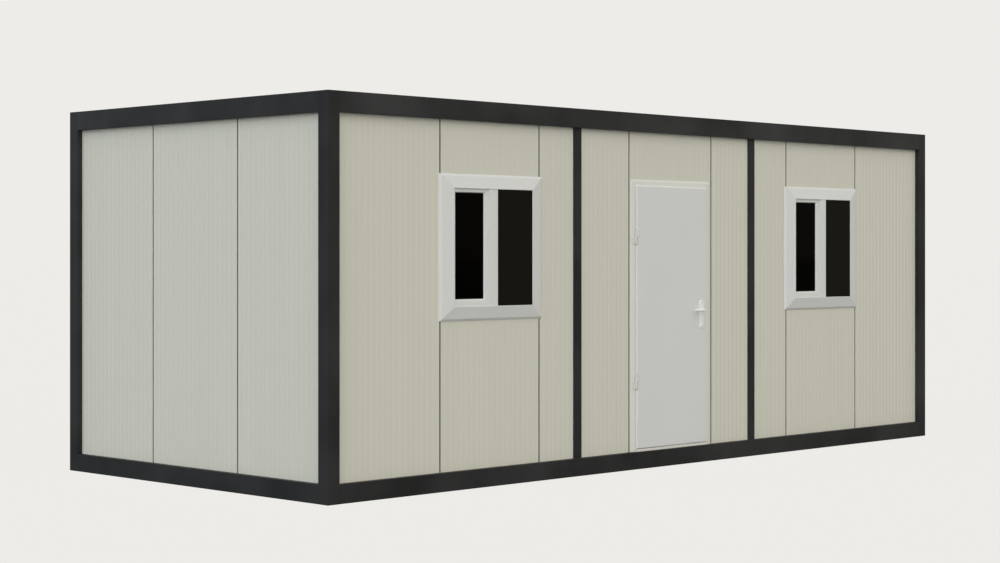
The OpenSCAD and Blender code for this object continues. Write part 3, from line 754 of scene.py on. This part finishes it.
class CABIN_OT_frame(bpy.types.Operator):
    """Makes the corner posts, the folded rails and the strips before the long walls."""

    bl_idname = "cabin.frame"
    bl_label = "Steel frame"

    def execute(self, context):
        sizes = context.scene.frame_sizes
        # The top rails take a paler coat: painted light for the brighter light high on the cabin.
        paint, painted_lighter = finish("powder_coated_steel"), finish("top_rail_coat_painted_paler")
        for name in ("front_left", "front_right", "back_left", "back_right"):
            node = "corner_post_" + name
            a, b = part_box(node)
            ease = sizes.corner_radius
            levels = [(a.z, ease), (a.z + ease, 0), (b.z - ease, 0), (b.z, ease)]
            post = slab((a.x, b.x, a.y, b.y), ease, 2, levels, 5)
            piece("post_" + name, post, paint, "cabin", [node])
        turns = {"front": 0, "right": 1, "back": 2, "left": 3}
        for level in ("base", "top"):
            for side, turn in turns.items():
                node = f"{level}_rail_{side}"
                a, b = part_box(node)
                long_side = side in ("front", "back")
                along, across = (0, 1) if long_side else (1, 0)
                half = (b[along] - a[along]) / 2
                face = max(b[across], -a[across])
                depth = b[across] - a[across]
                outline = rail_outline(b.z - a.z, depth, sizes) + np.array([-face, a.z])
                bar = quarter_turns(carried(outline, 0, -half, half), turn)
                piece("rail_" + level + "_" + side, bar, paint if level == "base" else painted_lighter,
                      "cabin", [node])
        self.strips("mid_posts_front", 0, paint, sizes)
        self.strips("mid_posts_back", 2, paint, sizes)
        return {"FINISHED"}

    def strips(self, node, turn, paint, sizes):
        """Shallow folded channels that stand before a long wall, open towards it."""
        width, t = sizes.strip_width, sizes.strip_wall
        a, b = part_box(node)
        face = -b.y if turn else a.y
        back = face + b.y - a.y
        low_x, high_x = (-b.x, -a.x) if turn else (a.x, b.x)
        radii = [2.5 * MM] * 2 + [0.5 * MM] * 6
        parts = []
        for x0, x1 in ((low_x, low_x + width), (high_x - width, high_x)):
            points = [(x0, face), (x1, face), (x1, back), (x1 - t, back), (x1 - t, face + t),
                      (x0 + t, face + t), (x0 + t, back), (x0, back)]
            parts.append(carried(rounded(points, radii), 2, a.z, b.z))
        piece(node.replace("mid_posts", "wall_strips"), quarter_turns(joined(parts), turn),
              paint, "cabin", [node])


def groove_columns(start, end, sizes, d):
    """Columns and depths across one panel module.

    The face lies at depth 0 and drops into a seam at each end. Between the seams lie evenly
    spaced grooves d deep, with sloped flanks and a flat floor, and a narrow flat beside each
    flank keeps the face level.
    """
    left, right = start + sizes.seam_right, end - sizes.seam_left
    half = sizes.groove_width / 2
    pitch = (right - left) / sizes.grooves
    middle = left + (np.arange(sizes.grooves) + 0.5) * pitch
    bottom, flat, bend, drop = 0.45 * half, 2 * MM, 1.2 * MM, 0.1 * MM
    offset = np.array([-half - flat, -half, -bottom, bottom, half, half + flat])
    depth = np.array([0, 0, d, d, 0, 0])
    xs = np.concatenate([[start, left - drop, left, left + bend / 3, left + bend],
                         (middle[:, None] + offset).ravel(),
                         [right - bend, right - bend / 3, right, right + drop, end]])
    ys = np.concatenate([[sizes.seam, sizes.seam, bend, bend / 3, 0],
                         np.tile(depth, sizes.grooves),
                         [0, bend / 3, bend, sizes.seam, sizes.seam]])
    return xs, ys


def wall_run(sizes, edges, limits, levels, thickness, wall_y, holes, groove_depth):
    """Panels of one wall: each module's columns are cut at the wall's limits and at its
    hole's sides, where the depth is read off the profile."""
    parts = []
    for number, (start, end) in enumerate(zip(edges[:-1], edges[1:])):
        xs, ys = groove_columns(start, end, sizes, groove_depth)
        hole = holes.get(number)
        cuts = [limits[0], limits[1]] + ([hole[0], hole[2]] if hole else [])
        inside = [x for x in cuts if start < x < end]
        order_x = np.unique(np.concatenate([xs, inside]))
        order_y = np.interp(order_x, xs, ys)
        keep = (order_x >= limits[0]) & (order_x <= limits[1])
        zs = np.array(sorted({levels[0], levels[1]} | ({hole[1], hole[3]} if hole else set())))
        face = wall_y + order_y[keep]
        parts.append(panel_shell(order_x[keep], face, wall_y + thickness, zs, hole))
    return parts


class CABIN_OT_walls(bpy.types.Operator):
    """Makes the ribbed panels of the four walls, with the windows' and the door's holes."""

    bl_idname = "cabin.walls"
    bl_label = "Wall panels"

    def execute(self, context):
        sizes = context.scene.panel_sizes
        hole_size = context.scene.window_sizes.hole
        paint = finish("coil_coated_steel")
        end = high("corner_post_front_right").x - sizes.lap
        pitch = 2 * end / sizes.count
        edges = -end + np.arange(sizes.count + 1) * pitch + sizes.seam_shift
        first, last = low("front_panel_1"), high("front_panel_7")
        limits = (first.x, last.x)
        levels = (first.z, last.z)
        thickness = high("front_panel_1").y - first.y
        holes = {number: centred(hole_size, hole_size, m[0], m[2])
                 for number, m in zip((1, 5), window_middles())}
        half_door = context.scene.door_sizes.hole / 2
        holes[3] = (-half_door, levels[0], half_door, low("front_panel_4").z)
        long_depth, short_depth = sizes.groove_depth, sizes.end_groove_depth
        runs = wall_run(sizes, edges, limits, levels, thickness, first.y, holes, long_depth)
        for number, shell in enumerate(runs, 1):
            replaced = [f"front_panel_{number}"] + (["door_side_strips"] if number == 4 else [])
            piece(f"ribbed_panel_front_{number}", shell, paint, "cabin", replaced)
        back = wall_run(sizes, edges, limits, levels, thickness, first.y, {}, long_depth)
        piece("ribbed_panels_back", quarter_turns(joined(back), 2), paint, "cabin",
              ["back_wall_panels"])
        half = high("left_wall_panels").y
        side_y = low("left_wall_panels").x
        side_edges = np.array([-1.5, -0.5, 0.5, 1.5]) * pitch
        side = wall_run(sizes, side_edges, (-half, half), levels, thickness, side_y, {}, short_depth)
        for name, turn in (("left", 3), ("right", 1)):
            piece("ribbed_panels_" + name, quarter_turns(joined(side), turn), paint, "cabin",
                  [name + "_wall_panels"])
        self.seals(sizes, first.y, edges, side_y, side_edges, levels)
        return {"FINISHED"}

    def seals(self, sizes, wall_y, edges, side_y, side_edges, levels):
        """Rubber strips that lie in the grooves between the panels, a little below the face."""
        left, right = 0.3 * MM - sizes.seam_left, sizes.seam_right - 0.3 * MM
        top, bottom = sizes.seal_depth, sizes.seam + 0.5 * MM
        hollow = rounded([(left, bottom), (left, top), ((left + right) / 2, top + 0.8 * MM),
                          (right, top), (right, bottom)], 0.4 * MM)
        z0, z1 = levels[0] + 1 * MM, levels[1] - 1 * MM
        long_wall = [carried(hollow + np.array([x, wall_y]), 2, z0, z1) for x in edges[1:-1]]
        short_wall = [carried(hollow + np.array([x, side_y]), 2, z0, z1) for x in side_edges[1:-1]]
        parts = [joined(long_wall), quarter_turns(joined(long_wall), 2),
                 quarter_turns(joined(short_wall), 3), quarter_turns(joined(short_wall), 1)]
        piece("panel_seals", joined(parts), finish("moulded_rubber"), "cabin")


class CABIN_OT_windows(bpy.types.Operator):
    """Makes the trims, frames, sashes, seals, panes and screens of the sliding windows."""

    bl_idname = "cabin.windows"
    bl_label = "Windows"

    def execute(self, context):
        s = context.scene.window_sizes
        middles = window_middles()
        pvc, rubber = finish("extruded_pvc"), finish("moulded_rubber")
        trim_size = high("window_trims").z - low("window_trims").z
        light = centred(s.light_width, s.light_height)
        ridge = low("window_trims").y - middles[0][1]
        section = [(0, 0), (0, -2 * MM), (0.02, -4.5 * MM), (0.14, -14 * MM), (0.17, -15.8 * MM),
                   (0.93, ridge + 1.2 * MM), (0.96, ridge), (0.985, ridge + 0.2 * MM),
                   (1, ridge + 1.5 * MM), (1, 0)]
        trim = mitred(centred(trim_size, trim_size), light, section)
        piece("window_trim_pair", repeated(trim, middles), finish("extruded_pvc_trim"), "cabin",
              ["window_trims"], crease=20)

        outer = centred(s.hole - 4 * MM, s.hole - 4 * MM)
        opening = shrunk(light, s.frame_step)
        depth = high("window_frames").y - middles[0][1]
        ring = mitred(outer, opening, [(0, 0), (1, 0), (1, depth), (0, depth)], hairline=0)
        fitted = shrunk(light, 0.1 * MM)
        collar = rim(fitted, opening, s.collar, 1 * MM, 1.2 * MM)
        fronts = [(s.bar_left, s.face - 0.2 * MM), (s.bar_left, s.bar),
                  (s.screen_left - 0.2 * MM, s.bar), (s.screen_left - 0.2 * MM, s.face - 0.2 * MM)]
        outline = rounded(fronts, [0.3 * MM, 2.5 * MM, 0.6 * MM, 0.3 * MM])
        bar = carried(outline, 2, -light[3] + 0.4 * MM, light[3] - 0.4 * MM)
        piece("window_frame_pair", repeated(joined([ring, collar, bar]), middles), pvc, "cabin",
              ["window_frames"], crease=25)

        moving = shrunk(opening, 0.5 * MM)
        front = (moving[0], moving[1], s.stile_right, moving[3])
        beside, below, above, upper_bead = 14 * MM, 40 * MM, 19 * MM, 6 * MM
        pane = (front[0] + beside, front[1] + below, s.glass_right, front[3] - above)
        sloped = (pane[0] - s.bead, pane[1] - s.bead, pane[2] + s.bead, pane[3] + upper_bead)
        rear = (2 * MM, moving[1], moving[2], moving[3])
        rear_sloped, rear_pane = shrunk(rear, s.rear_rail), shrunk(rear, s.rear_rail + 10 * MM)
        sashes = ((front, sloped, pane, s.face, s.glass, 16 * MM),
                  (rear, rear_sloped, rear_pane, 19 * MM, 28 * MM, 43 * MM))
        parts, lips, panes = [], [], []
        for whole, slope, edge, face, y, back in sashes:
            parts += [rim(whole, slope, face, back, 0.8 * MM), bead(slope, edge, face, y)]
            lip = [(0, y - 1.6 * MM), (0.5, y - 2 * MM), (1, y - 0.4 * MM), (1, y), (0, y)]
            lips.append(mitred(edge, shrunk(edge, 2.5 * MM), lip, hairline=0))
            x0, z0, x1, z1 = shrunk(edge, -8 * MM)
            levels = [(y, 0.5 * MM), (y + 0.5 * MM, 0), (y + 5.5 * MM, 0), (y + 6 * MM, 0.5 * MM)]
            panes.append(slab((x0, x1, z0, z1), 2 * MM, 1, levels))
        piece("window_sash_pair", repeated(joined(parts), middles), pvc, "cabin",
              ["window_sashes"], crease=25)
        piece("window_seals", repeated(joined(lips), middles), rubber, "cabin")
        piece("window_panes", repeated(joined(panes), middles), finish("tinted_glass"), "cabin",
              ["window_glass"])

        a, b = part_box("window_screens")
        y0, y1 = a.y - middles[0][1], b.y - middles[0][1]
        half_z = (b.z - a.z) / 2
        screen = slab((s.screen_left, light[2] - 0.3 * MM, -half_z, half_z), 0.8 * MM, 1,
                      [(y0, 0.5 * MM), (y0 + 0.5 * MM, 0), (y1, 0)])
        piece("window_screen_pair", repeated(screen, middles), finish("woven_screen"), "cabin",
              ["window_screens"])
        return {"FINISHED"}


class CABIN_OT_door(bpy.types.Operator):
    """Makes the door's frame, threshold, leaf, hinges, handle plates, lever and lock."""

    bl_idname = "cabin.door"
    bl_label = "Door"

    def execute(self, context):
        s = context.scene.door_sizes
        paint, rubber = finish("sprayed_door_paint"), finish("moulded_rubber")
        nickel, pvc = finish("satin_nickel"), finish("injection_moulded_nylon")
        leaf_a, leaf_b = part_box("door_leaf")
        wall_y = low("front_panel_1").y
        self.frame_and_threshold(s, paint, rubber, leaf_b, wall_y)
        self.leaf(s, paint, nickel, leaf_a, leaf_b)
        self.hinges(s, paint, nickel, leaf_a)
        self.handles(s, pvc, nickel, leaf_a, leaf_b)
        return {"FINISHED"}

    def frame_and_threshold(self, s, paint, rubber, leaf_b, wall_y):
        """Jambs and head of one folded section, mitred at the top, with a seal on the stop,
        and a threshold with fine ridges on its tread."""
        frame_a, frame_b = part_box("door_frame")
        half = leaf_b.x - s.lip + s.gap
        head = leaf_b.z - s.lip + s.gap
        face_side = frame_b.x - half
        jamb = 28 * MM / face_side
        stop_y = leaf_b.y + s.gap
        back = frame_b.y
        turn_in = -s.stop / face_side
        section = [(0, wall_y), (0, wall_y - 2 * MM), (0.33, wall_y - 5.6 * MM),
                   (0.37, frame_a.y), (0.97, frame_a.y), (1, frame_a.y + 1.5 * MM), (1, stop_y),
                   (1 - turn_in, stop_y), (1 - turn_in, back), (1 - jamb, back), (1 - jamb, wall_y)]
        outer = (frame_a.x, frame_a.z, frame_b.x, frame_b.z)
        inner = (-half, frame_a.z, half, head)
        ring = mitred(outer, inner, section, sides=(1, 2, 3))
        piece("door_surround", ring, finish("sprayed_frame_paint"), "cabin",
              ["door_frame"], crease=25)
        seal_in, seal_out = half - s.stop + 1 * MM, half - 6 * MM
        foot = frame_a.z + 26 * MM
        seal = [(0, stop_y), (0.1, stop_y - 2.5 * MM), (0.5, stop_y - 3.5 * MM),
                (0.9, stop_y - 2.5 * MM), (1, stop_y)]
        gasket = mitred((-seal_out, foot, seal_out, head - half + seal_out),
                        (-seal_in, foot, seal_in, head - half + seal_in), seal,
                        sides=(1, 2, 3), hairline=0)
        piece("door_seal", gasket, rubber, "cabin")

        a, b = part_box("door_threshold")
        ridge, edges = 1.2 * MM, 17
        tread_y = np.linspace(a.y + 6 * MM, stop_y + 20 * MM, edges)
        tread_z = b.z - ridge * (np.arange(edges) % 2)
        points = [(a.y, a.z), (a.y, b.z - 2 * MM), (a.y + 2 * MM, b.z)]
        points += list(zip(tread_y.tolist(), tread_z.tolist())) + [(b.y, b.z), (b.y, a.z)]
        piece("door_sill", carried(points, 0, a.x + 0.3 * MM, b.x - 0.3 * MM), paint, "cabin",
              ["door_threshold"], crease=15)

    def leaf(self, s, paint, nickel, a, b):
        """Leaf with a bevelled lip round its face that stops short at the hinges, a sunk line
        where its two skins meet, and the lock's face plate in its free edge."""
        lip_back = low("door_frame").y - s.gap
        whole = (a.x, a.z, b.x, b.z)
        body, face = shrunk(whole, s.lip), shrunk(whole, s.lip_bevel)
        r = s.edge_radius
        middle = (lip_back + b.y) / 2
        levels = [(a.y + 9 * MM, 0), (middle - 0.6 * MM, 0), (middle, 0.8 * MM),
                  (middle + 0.6 * MM, 0), (b.y - r, 0), (b.y - 0.3 * r, 0.3 * r), (b.y, r)]
        core = easing_rings(box_outline(body[0], body[2], body[1], body[3]), 1, levels)
        plate = easing_rings(box_outline(face[0], face[2], face[1], face[3]), 1,
                             [(a.y, 0), (lip_back - 0.2 * MM, 0)])
        bevel = [(0, lip_back), (0, a.y + 8.6 * MM), (0.06, a.y + 7.5 * MM),
                 (0.8, a.y + 0.9 * MM), (0.93, a.y + 0.2 * MM), (1, a.y), (1, lip_back)]
        drip = [(0, lip_back), (0, a.y + 4 * MM), (0.08, a.y + 2 * MM), (0.25, a.y + 0.6 * MM),
                (0.45, a.y), (1, a.y), (1, lip_back)]
        parts = [core, plate, mitred(whole, face, bevel, sides=(1, 2), hairline=0),
                 mitred(whole, face, drip, sides=(0,), hairline=0)]
        pins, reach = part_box("door_hinge_pins"), s.hinge_half + s.gap
        heights = (pins[0].z + s.hinge_half, pins[1].z - s.hinge_half + 5 * MM)
        stops = [a.z, heights[0] - reach, heights[0] + reach, heights[1] - reach,
                 heights[1] + reach, b.z]
        self.rebate_seal(s, whole, body, stops, lip_back)
        flat = np.asarray(bevel)
        outline = np.stack([a.x + flat[:, 0] * s.lip_bevel, flat[:, 1]], axis=1)
        for start, end in zip(stops[::2], stops[1::2]):
            low_cut = flat[:, 0] * s.lip_bevel * (start == a.z)
            high_cut = flat[:, 0] * s.lip_bevel * (end == b.z)
            ends = np.stack([start + low_cut, end - high_cut])
            grid = np.stack([np.broadcast_to(outline[:, 0], ends.shape),
                             np.broadcast_to(outline[:, 1], ends.shape), ends], axis=-1)
            parts.append(rings(grid))
        piece("flush_leaf", joined(parts), paint, "door", ["door_leaf"], crease=40)
        lever_z = (low("door_lever").z + high("door_lever").z) / 2
        edge, middle = body[2], (lip_back + b.y) / 2
        strip = (middle - 9 * MM, middle + 9 * MM, lever_z - 150 * MM, lever_z + 60 * MM)
        plate = slab(strip, 5 * MM, 0, [(edge - 1 * MM, 0), (edge + 0.8 * MM, 0),
                                        (edge + 1 * MM, 0.3 * MM)])
        bolt = (middle - 6 * MM, middle + 6 * MM, lever_z - 18 * MM, lever_z + 16 * MM)
        latch = slab(bolt, 2 * MM, 0, [(edge, 0), (edge + 2 * MM, 0), (edge + 3 * MM, 2 * MM)])
        piece("lock_face_plate", joined([plate, latch]), nickel, "door")

    def rebate_seal(self, s, whole, body, stops, lip_back):
        """Pale hollow seal on the frame's face, right behind the lip, and the sill's nosing."""
        front, back = lip_back + 0.4 * MM, low("door_frame").y + 0.2 * MM
        tube = [(0.2, back), (0.2, front + 1.5 * MM), (0.3, front + 0.3 * MM), (0.5, front),
                (0.8, front), (0.8, back)]
        parts = [mitred(whole, body, tube, sides=(1, 2), hairline=0)]
        strip = rounded(box_outline(whole[0] + 1.6 * MM, whole[0] + 5.6 * MM, front, back), 0.8 * MM)
        parts += [carried(strip, 2, start + 2 * MM, end - 2 * MM)
                  for start, end in zip(stops[::2], stops[1::2])]
        piece("rebate_seal", joined(parts), finish("pale_rubber"), "cabin")
        sill_a, sill_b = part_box("door_threshold")
        base, top = high("base_rail_front").z, whole[1] - s.gap
        lead = sill_a.y - 14 * MM
        nose = [(sill_a.y, base), (lead, base), (lead, top - 2 * MM), (lead + 2 * MM, top),
                (sill_a.y, top)]
        outline = rounded(nose, [0.2 * MM, 1 * MM, 1 * MM, 1 * MM, 0.2 * MM])
        piece("sill_nosing", carried(outline, 0, sill_a.x + 1 * MM, sill_b.x - 1 * MM),
              finish("sprayed_frame_paint"), "cabin")

    def hinges(self, s, paint, nickel, leaf_a):
        """Lift-off hinges: a turned knuckle with a domed end on each half, a plate beside it
        and screws in the plate."""
        axis_x, axis_y = joint_place("door_hinge")[:2]
        pin_a, pin_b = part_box("door_hinge_pins")
        top_b = high("door_hinge_leaves")
        tall, r = s.hinge_half, s.knuckle
        lower = [(0, 0), (r * 0.55, 0.6 * MM), (r * 0.9, 2.5 * MM), (r, 5 * MM),
                 (r, tall - 1.5 * MM), (r - 1 * MM, tall - 0.5 * MM), (0, tall - 0.5 * MM)]
        upper = [(0, 0), (r - 1 * MM, 0), (r, 1 * MM), (r, tall - 5 * MM),
                 (r * 0.9, tall - 2.5 * MM), (r * 0.55, tall - 0.6 * MM), (0, tall)]
        bottoms = (pin_a.z, pin_b.z - 2 * tall + 5 * MM)
        fixed, moving, screws_fixed, screws_moving = [], [], [], []
        for z in bottoms:
            fixed.append(turned(lower, (axis_x, axis_y, z), 2))
            moving.append(turned(upper, (axis_x, axis_y, z + tall), 2))
            plates = ((fixed, (pin_a.x, axis_x, z, z + tall - 0.5 * MM), pin_b.y),
                      (moving, (axis_x, top_b.x, z + tall, z + 2 * tall), leaf_a.y))
            for halves, sides, y in plates:
                levels = [(y, 0), (y - 2.4 * MM, 0), (y - 3 * MM, 0.6 * MM)]
                halves.append(slab(sides, 3 * MM, 1, levels))
            for dz in (12 * MM, tall - 12 * MM):
                screws_fixed.append((pin_a.x + 10 * MM, pin_b.y - 3 * MM, z + dz))
                screws_moving.append((top_b.x - 10 * MM, leaf_a.y - 3 * MM, z + tall + dz))
        piece("hinge_halves_on_frame", joined(fixed), finish("sprayed_frame_paint"), "cabin",
              ["door_hinge_pins"])
        piece("hinge_halves_on_leaf", joined(moving), paint, "door",
              ["door_hinge_leaves"])
        head = turned(in_mm((0, 0), (3.6, 0), (3.6, -0.4), (2.6, -1.2), (1.2, -1.5), (0, -0.7)),
                      (0, 0, 0), 1, 16)
        piece("hinge_screws_on_frame", repeated(head, screws_fixed), nickel, "cabin")
        piece("hinge_screws_on_leaf", repeated(head, screws_moving), nickel, "door")

    def handles(self, s, pvc, nickel, leaf_a, leaf_b):
        """Long plates with eased rims, a lever bent out of its neck on each face, and the
        lock's cylinder with its key slot."""
        a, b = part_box("door_handle_plates")
        thick = leaf_a.y - a.y
        rims = ((0, 0), (thick - 3 * MM, 0), (thick - 1 * MM, 1 * MM), (thick, 3.5 * MM))
        plates = [slab((a.x, b.x, a.z, b.z), s.plate_radius, 1,
                       [(y + side * height, inset) for height, inset in rims], 8)
                  for y, side in ((leaf_a.y, -1), (leaf_b.y, 1))]
        piece("handle_plate_pair", joined(plates), pvc, "door",
              ["door_handle_plates"], crease=50)
        screw = turned(in_mm((0, 0), (4, 0), (4, -0.5), (3, -1.4), (1.2, -1.7), (0, -0.9)),
                       (0, 0, 0), 1, 20)
        middle_x = (a.x + b.x) / 2
        spots = [(middle_x, a.y, z) for z in (a.z + 14 * MM, b.z - 14 * MM)]
        piece("plate_screws", repeated(screw, spots), nickel, "door")

        la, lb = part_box("door_lever")
        spin = joint_place("lever_turn")
        neck, bend, tip_start = 9 * MM, s.lever_bend, 0.93
        half_level, taper, half_upright, swell = in_mm(8.6, 2.2, 8.8, 1.6)
        angle = np.linspace(0, math.pi / 2, 10)
        parts = []
        for wall, side in ((a.y, -1), (b.y, 1)):
            tip_y = la.y + neck if side < 0 else lb.y - neck
            arc_x = spin[0] - bend * (1 - np.cos(angle))
            arc_y = tip_y - side * bend + side * bend * np.sin(angle)
            straight_x = np.linspace(arc_x[-1] - 6 * MM, la.x + 1 * MM, 12)
            path_x = np.concatenate([[spin[0], spin[0]], arc_x, straight_x])
            path_y = np.concatenate([[wall - side * 4 * MM, wall + side * 4 * MM], arc_y,
                                     np.full(12, tip_y)])
            path = np.stack([path_x, path_y, np.full(len(path_x), spin[2])], axis=1)
            reach = np.linspace(0, 1, len(path_x))
            tip = np.clip((reach - tip_start) / (1 - tip_start), 0, 1)
            ends = np.sqrt(np.clip(1 - tip**2, 0.02, 1))
            level = (half_level - taper * reach) * ends
            upright = (half_upright + swell * np.sin(math.pi * reach)) * ends
            parts.append(swept(path, level, upright))
            collar = in_mm((0, 0), (13, 0), (13, 2), (11, 4), (9.5, 4.4), (0, 4.4)) * (1, side)
            parts.append(turned(collar, (spin[0], wall, spin[2]), 1, 32))
        piece("lever_pair", joined(parts), pvc, "lever", ["door_lever"], crease=50)

        ca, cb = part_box("door_lock_cylinder")
        r = (cb.x - ca.x) / 2
        centre_z = cb.z - r
        angle = np.linspace(-math.radians(54), math.radians(234), 28)
        barrel = np.stack([middle_x + r * np.cos(angle), centre_z + r * np.sin(angle)], axis=1)
        foot = 5 * MM
        arc = np.linspace(math.pi, 2 * math.pi, 9)
        lobe = np.stack([middle_x + foot * np.cos(arc), ca.z + foot + foot * np.sin(arc)], axis=1)
        euro = np.concatenate([barrel, lobe])
        body = easing_rings(euro, 1, [(ca.y, 0.5 * MM), (ca.y + 0.5 * MM, 0), (cb.y - 0.5 * MM, 0),
                                      (cb.y, 0.5 * MM)])
        piece("euro_cylinder", body, pvc, "door", ["door_lock_cylinder"], crease=50)
        sides = (middle_x - 1 * MM, middle_x + 1 * MM, centre_z - 4.5 * MM, centre_z + 4.5 * MM)
        slots = [slab(sides, 0.8 * MM, 1, [(y, 0), (y + side * 0.2 * MM, 0)])
                 for y, side in ((ca.y, -1), (cb.y, 1))]
        piece("key_slots", joined(slots), finish("moulded_rubber"), "door")


class CABIN_OT_roof_and_floor(bpy.types.Operator):
    """Makes the ribbed roof sheet with its screws, and dresses the ceiling, joists and floor."""

    bl_idname = "cabin.roof_and_floor"
    bl_label = "Roof and floor"

    def execute(self, context):
        zinc = finish("zinc_coated_steel")
        a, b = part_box("roof_sheet")
        pitch, foot, crown, sheet = 250 * MM, 70 * MM, 40 * MM, 1.2 * MM
        count = int((b.x - foot) / pitch)
        middle = np.arange(-count, count + 1) * pitch
        ease = 3 * MM
        offset = np.array([-foot / 2 - ease, -foot / 2 + ease, -crown / 2 - ease, -crown / 2 + ease,
                           crown / 2 - ease, crown / 2 + ease, foot / 2 - ease, foot / 2 + ease])
        rise = b.z - a.z - 2 * MM
        step = 0.3 * rise
        lift = np.array([0, step, rise - step, rise, rise, rise - step, step, 0])
        swage = np.array([-8 * MM, -3 * MM, 3 * MM, 8 * MM])
        swage_lift = np.array([0, 1.6 * MM, 1.6 * MM, 0])
        aside = np.array([-45 * MM, 45 * MM])[:, None]
        between = (middle[1:] + middle[:-1]) / 2
        swages = (between[:, None, None] + aside + swage).ravel()
        xs = np.concatenate([[a.x], (middle[:, None] + offset).ravel(), swages, [b.x]])
        zs = np.concatenate([[0], np.tile(lift, len(middle)),
                             np.tile(swage_lift, 2 * len(between)), [0]])
        order = np.argsort(xs)
        line = np.stack([xs[order], a.z + 2 * MM + zs[order]], axis=1)
        outline = np.concatenate([line, line[::-1] - [0, sheet]])
        corner = high("base_rail_front").x
        inner_y = high("corner_post_front_left").y
        outline[:, 0] = np.clip(outline[:, 0], -corner + 2 * MM, corner - 2 * MM)
        piece("ribbed_roof_sheet", carried(outline, 1, a.y, b.y), zinc, "cabin",
              ["roof_sheet"], crease=12)
        washer = turned(in_mm((0, 0), (8, 0), (8, 0.8), (5, 1.4), (4, 1.4), (4, 4.5), (3.4, 5),
                              (0, 5)), (0, 0, 0), 2, 12)
        rows = np.linspace(inner_y + 60 * MM, -inner_y - 60 * MM, 4)
        spots = [(x + 55 * MM, y, a.z + 2 * MM) for x in middle[:-1:2] for y in rows]
        piece("roof_screws", repeated(washer, spots), finish("satin_nickel"), "cabin")
        dress(zinc, "floor_joists", "underfloor_sheets", "roof_joists")
        dress(finish("pressed_board"), "floor_board")
        dress(finish("flecked_vinyl"), "floor_vinyl")
        dress(finish("inner_coil_coated_steel"), "ceiling_panels")
        return {"FINISHED"}


class CABIN_PT_panel(bpy.types.Panel):
    """Lists the cabin's operators and settings."""

    bl_label = "Site cabin"
    bl_idname = "CABIN_PT_panel"
    bl_space_type = "VIEW_3D"
    bl_region_type = "UI"
    bl_category = "Cabin"

    def draw(self, context):
        for operator in OPERATORS:
            self.layout.operator(operator.bl_idname)
        for group, _ in SETTINGS:
            box = self.layout.box()
            for name in SETTINGS_TYPES[group].__annotations__:
                box.prop(getattr(context.scene, group), name)


SETTINGS_TYPES = {
    "cabin_colours": CabinColours,
    "frame_sizes": FrameSizes,
    "panel_sizes": PanelSizes,
    "window_sizes": WindowSizes,
    "door_sizes": DoorSizes,
    "studio_light": StudioLight,
}
SETTINGS = tuple(SETTINGS_TYPES.items())
OPERATORS = (CABIN_OT_stage, CABIN_OT_frame, CABIN_OT_walls, CABIN_OT_windows, CABIN_OT_door,
             CABIN_OT_roof_and_floor)


def register():
    """Registers the settings, operators and panel."""
    for name, group in SETTINGS:
        bpy.utils.register_class(group)
        setattr(bpy.types.Scene, name, bpy.props.PointerProperty(type=group))
    for operator in OPERATORS:
        bpy.utils.register_class(operator)
    bpy.utils.register_class(CABIN_PT_panel)


def unregister():
    """Takes the panel, operators and settings away again."""
    bpy.utils.unregister_class(CABIN_PT_panel)
    for operator in reversed(OPERATORS):
        bpy.utils.unregister_class(operator)
    for name, group in reversed(SETTINGS):
        delattr(bpy.types.Scene, name)
        bpy.utils.unregister_class(group)


def main():
    """Builds the cabin, piece by piece."""
    register()
    bpy.ops.cabin.stage()
    bpy.ops.cabin.frame()
    bpy.ops.cabin.walls()
    bpy.ops.cabin.windows()
    bpy.ops.cabin.door()
    bpy.ops.cabin.roof_and_floor()


if __name__ == "__main__":
    main()
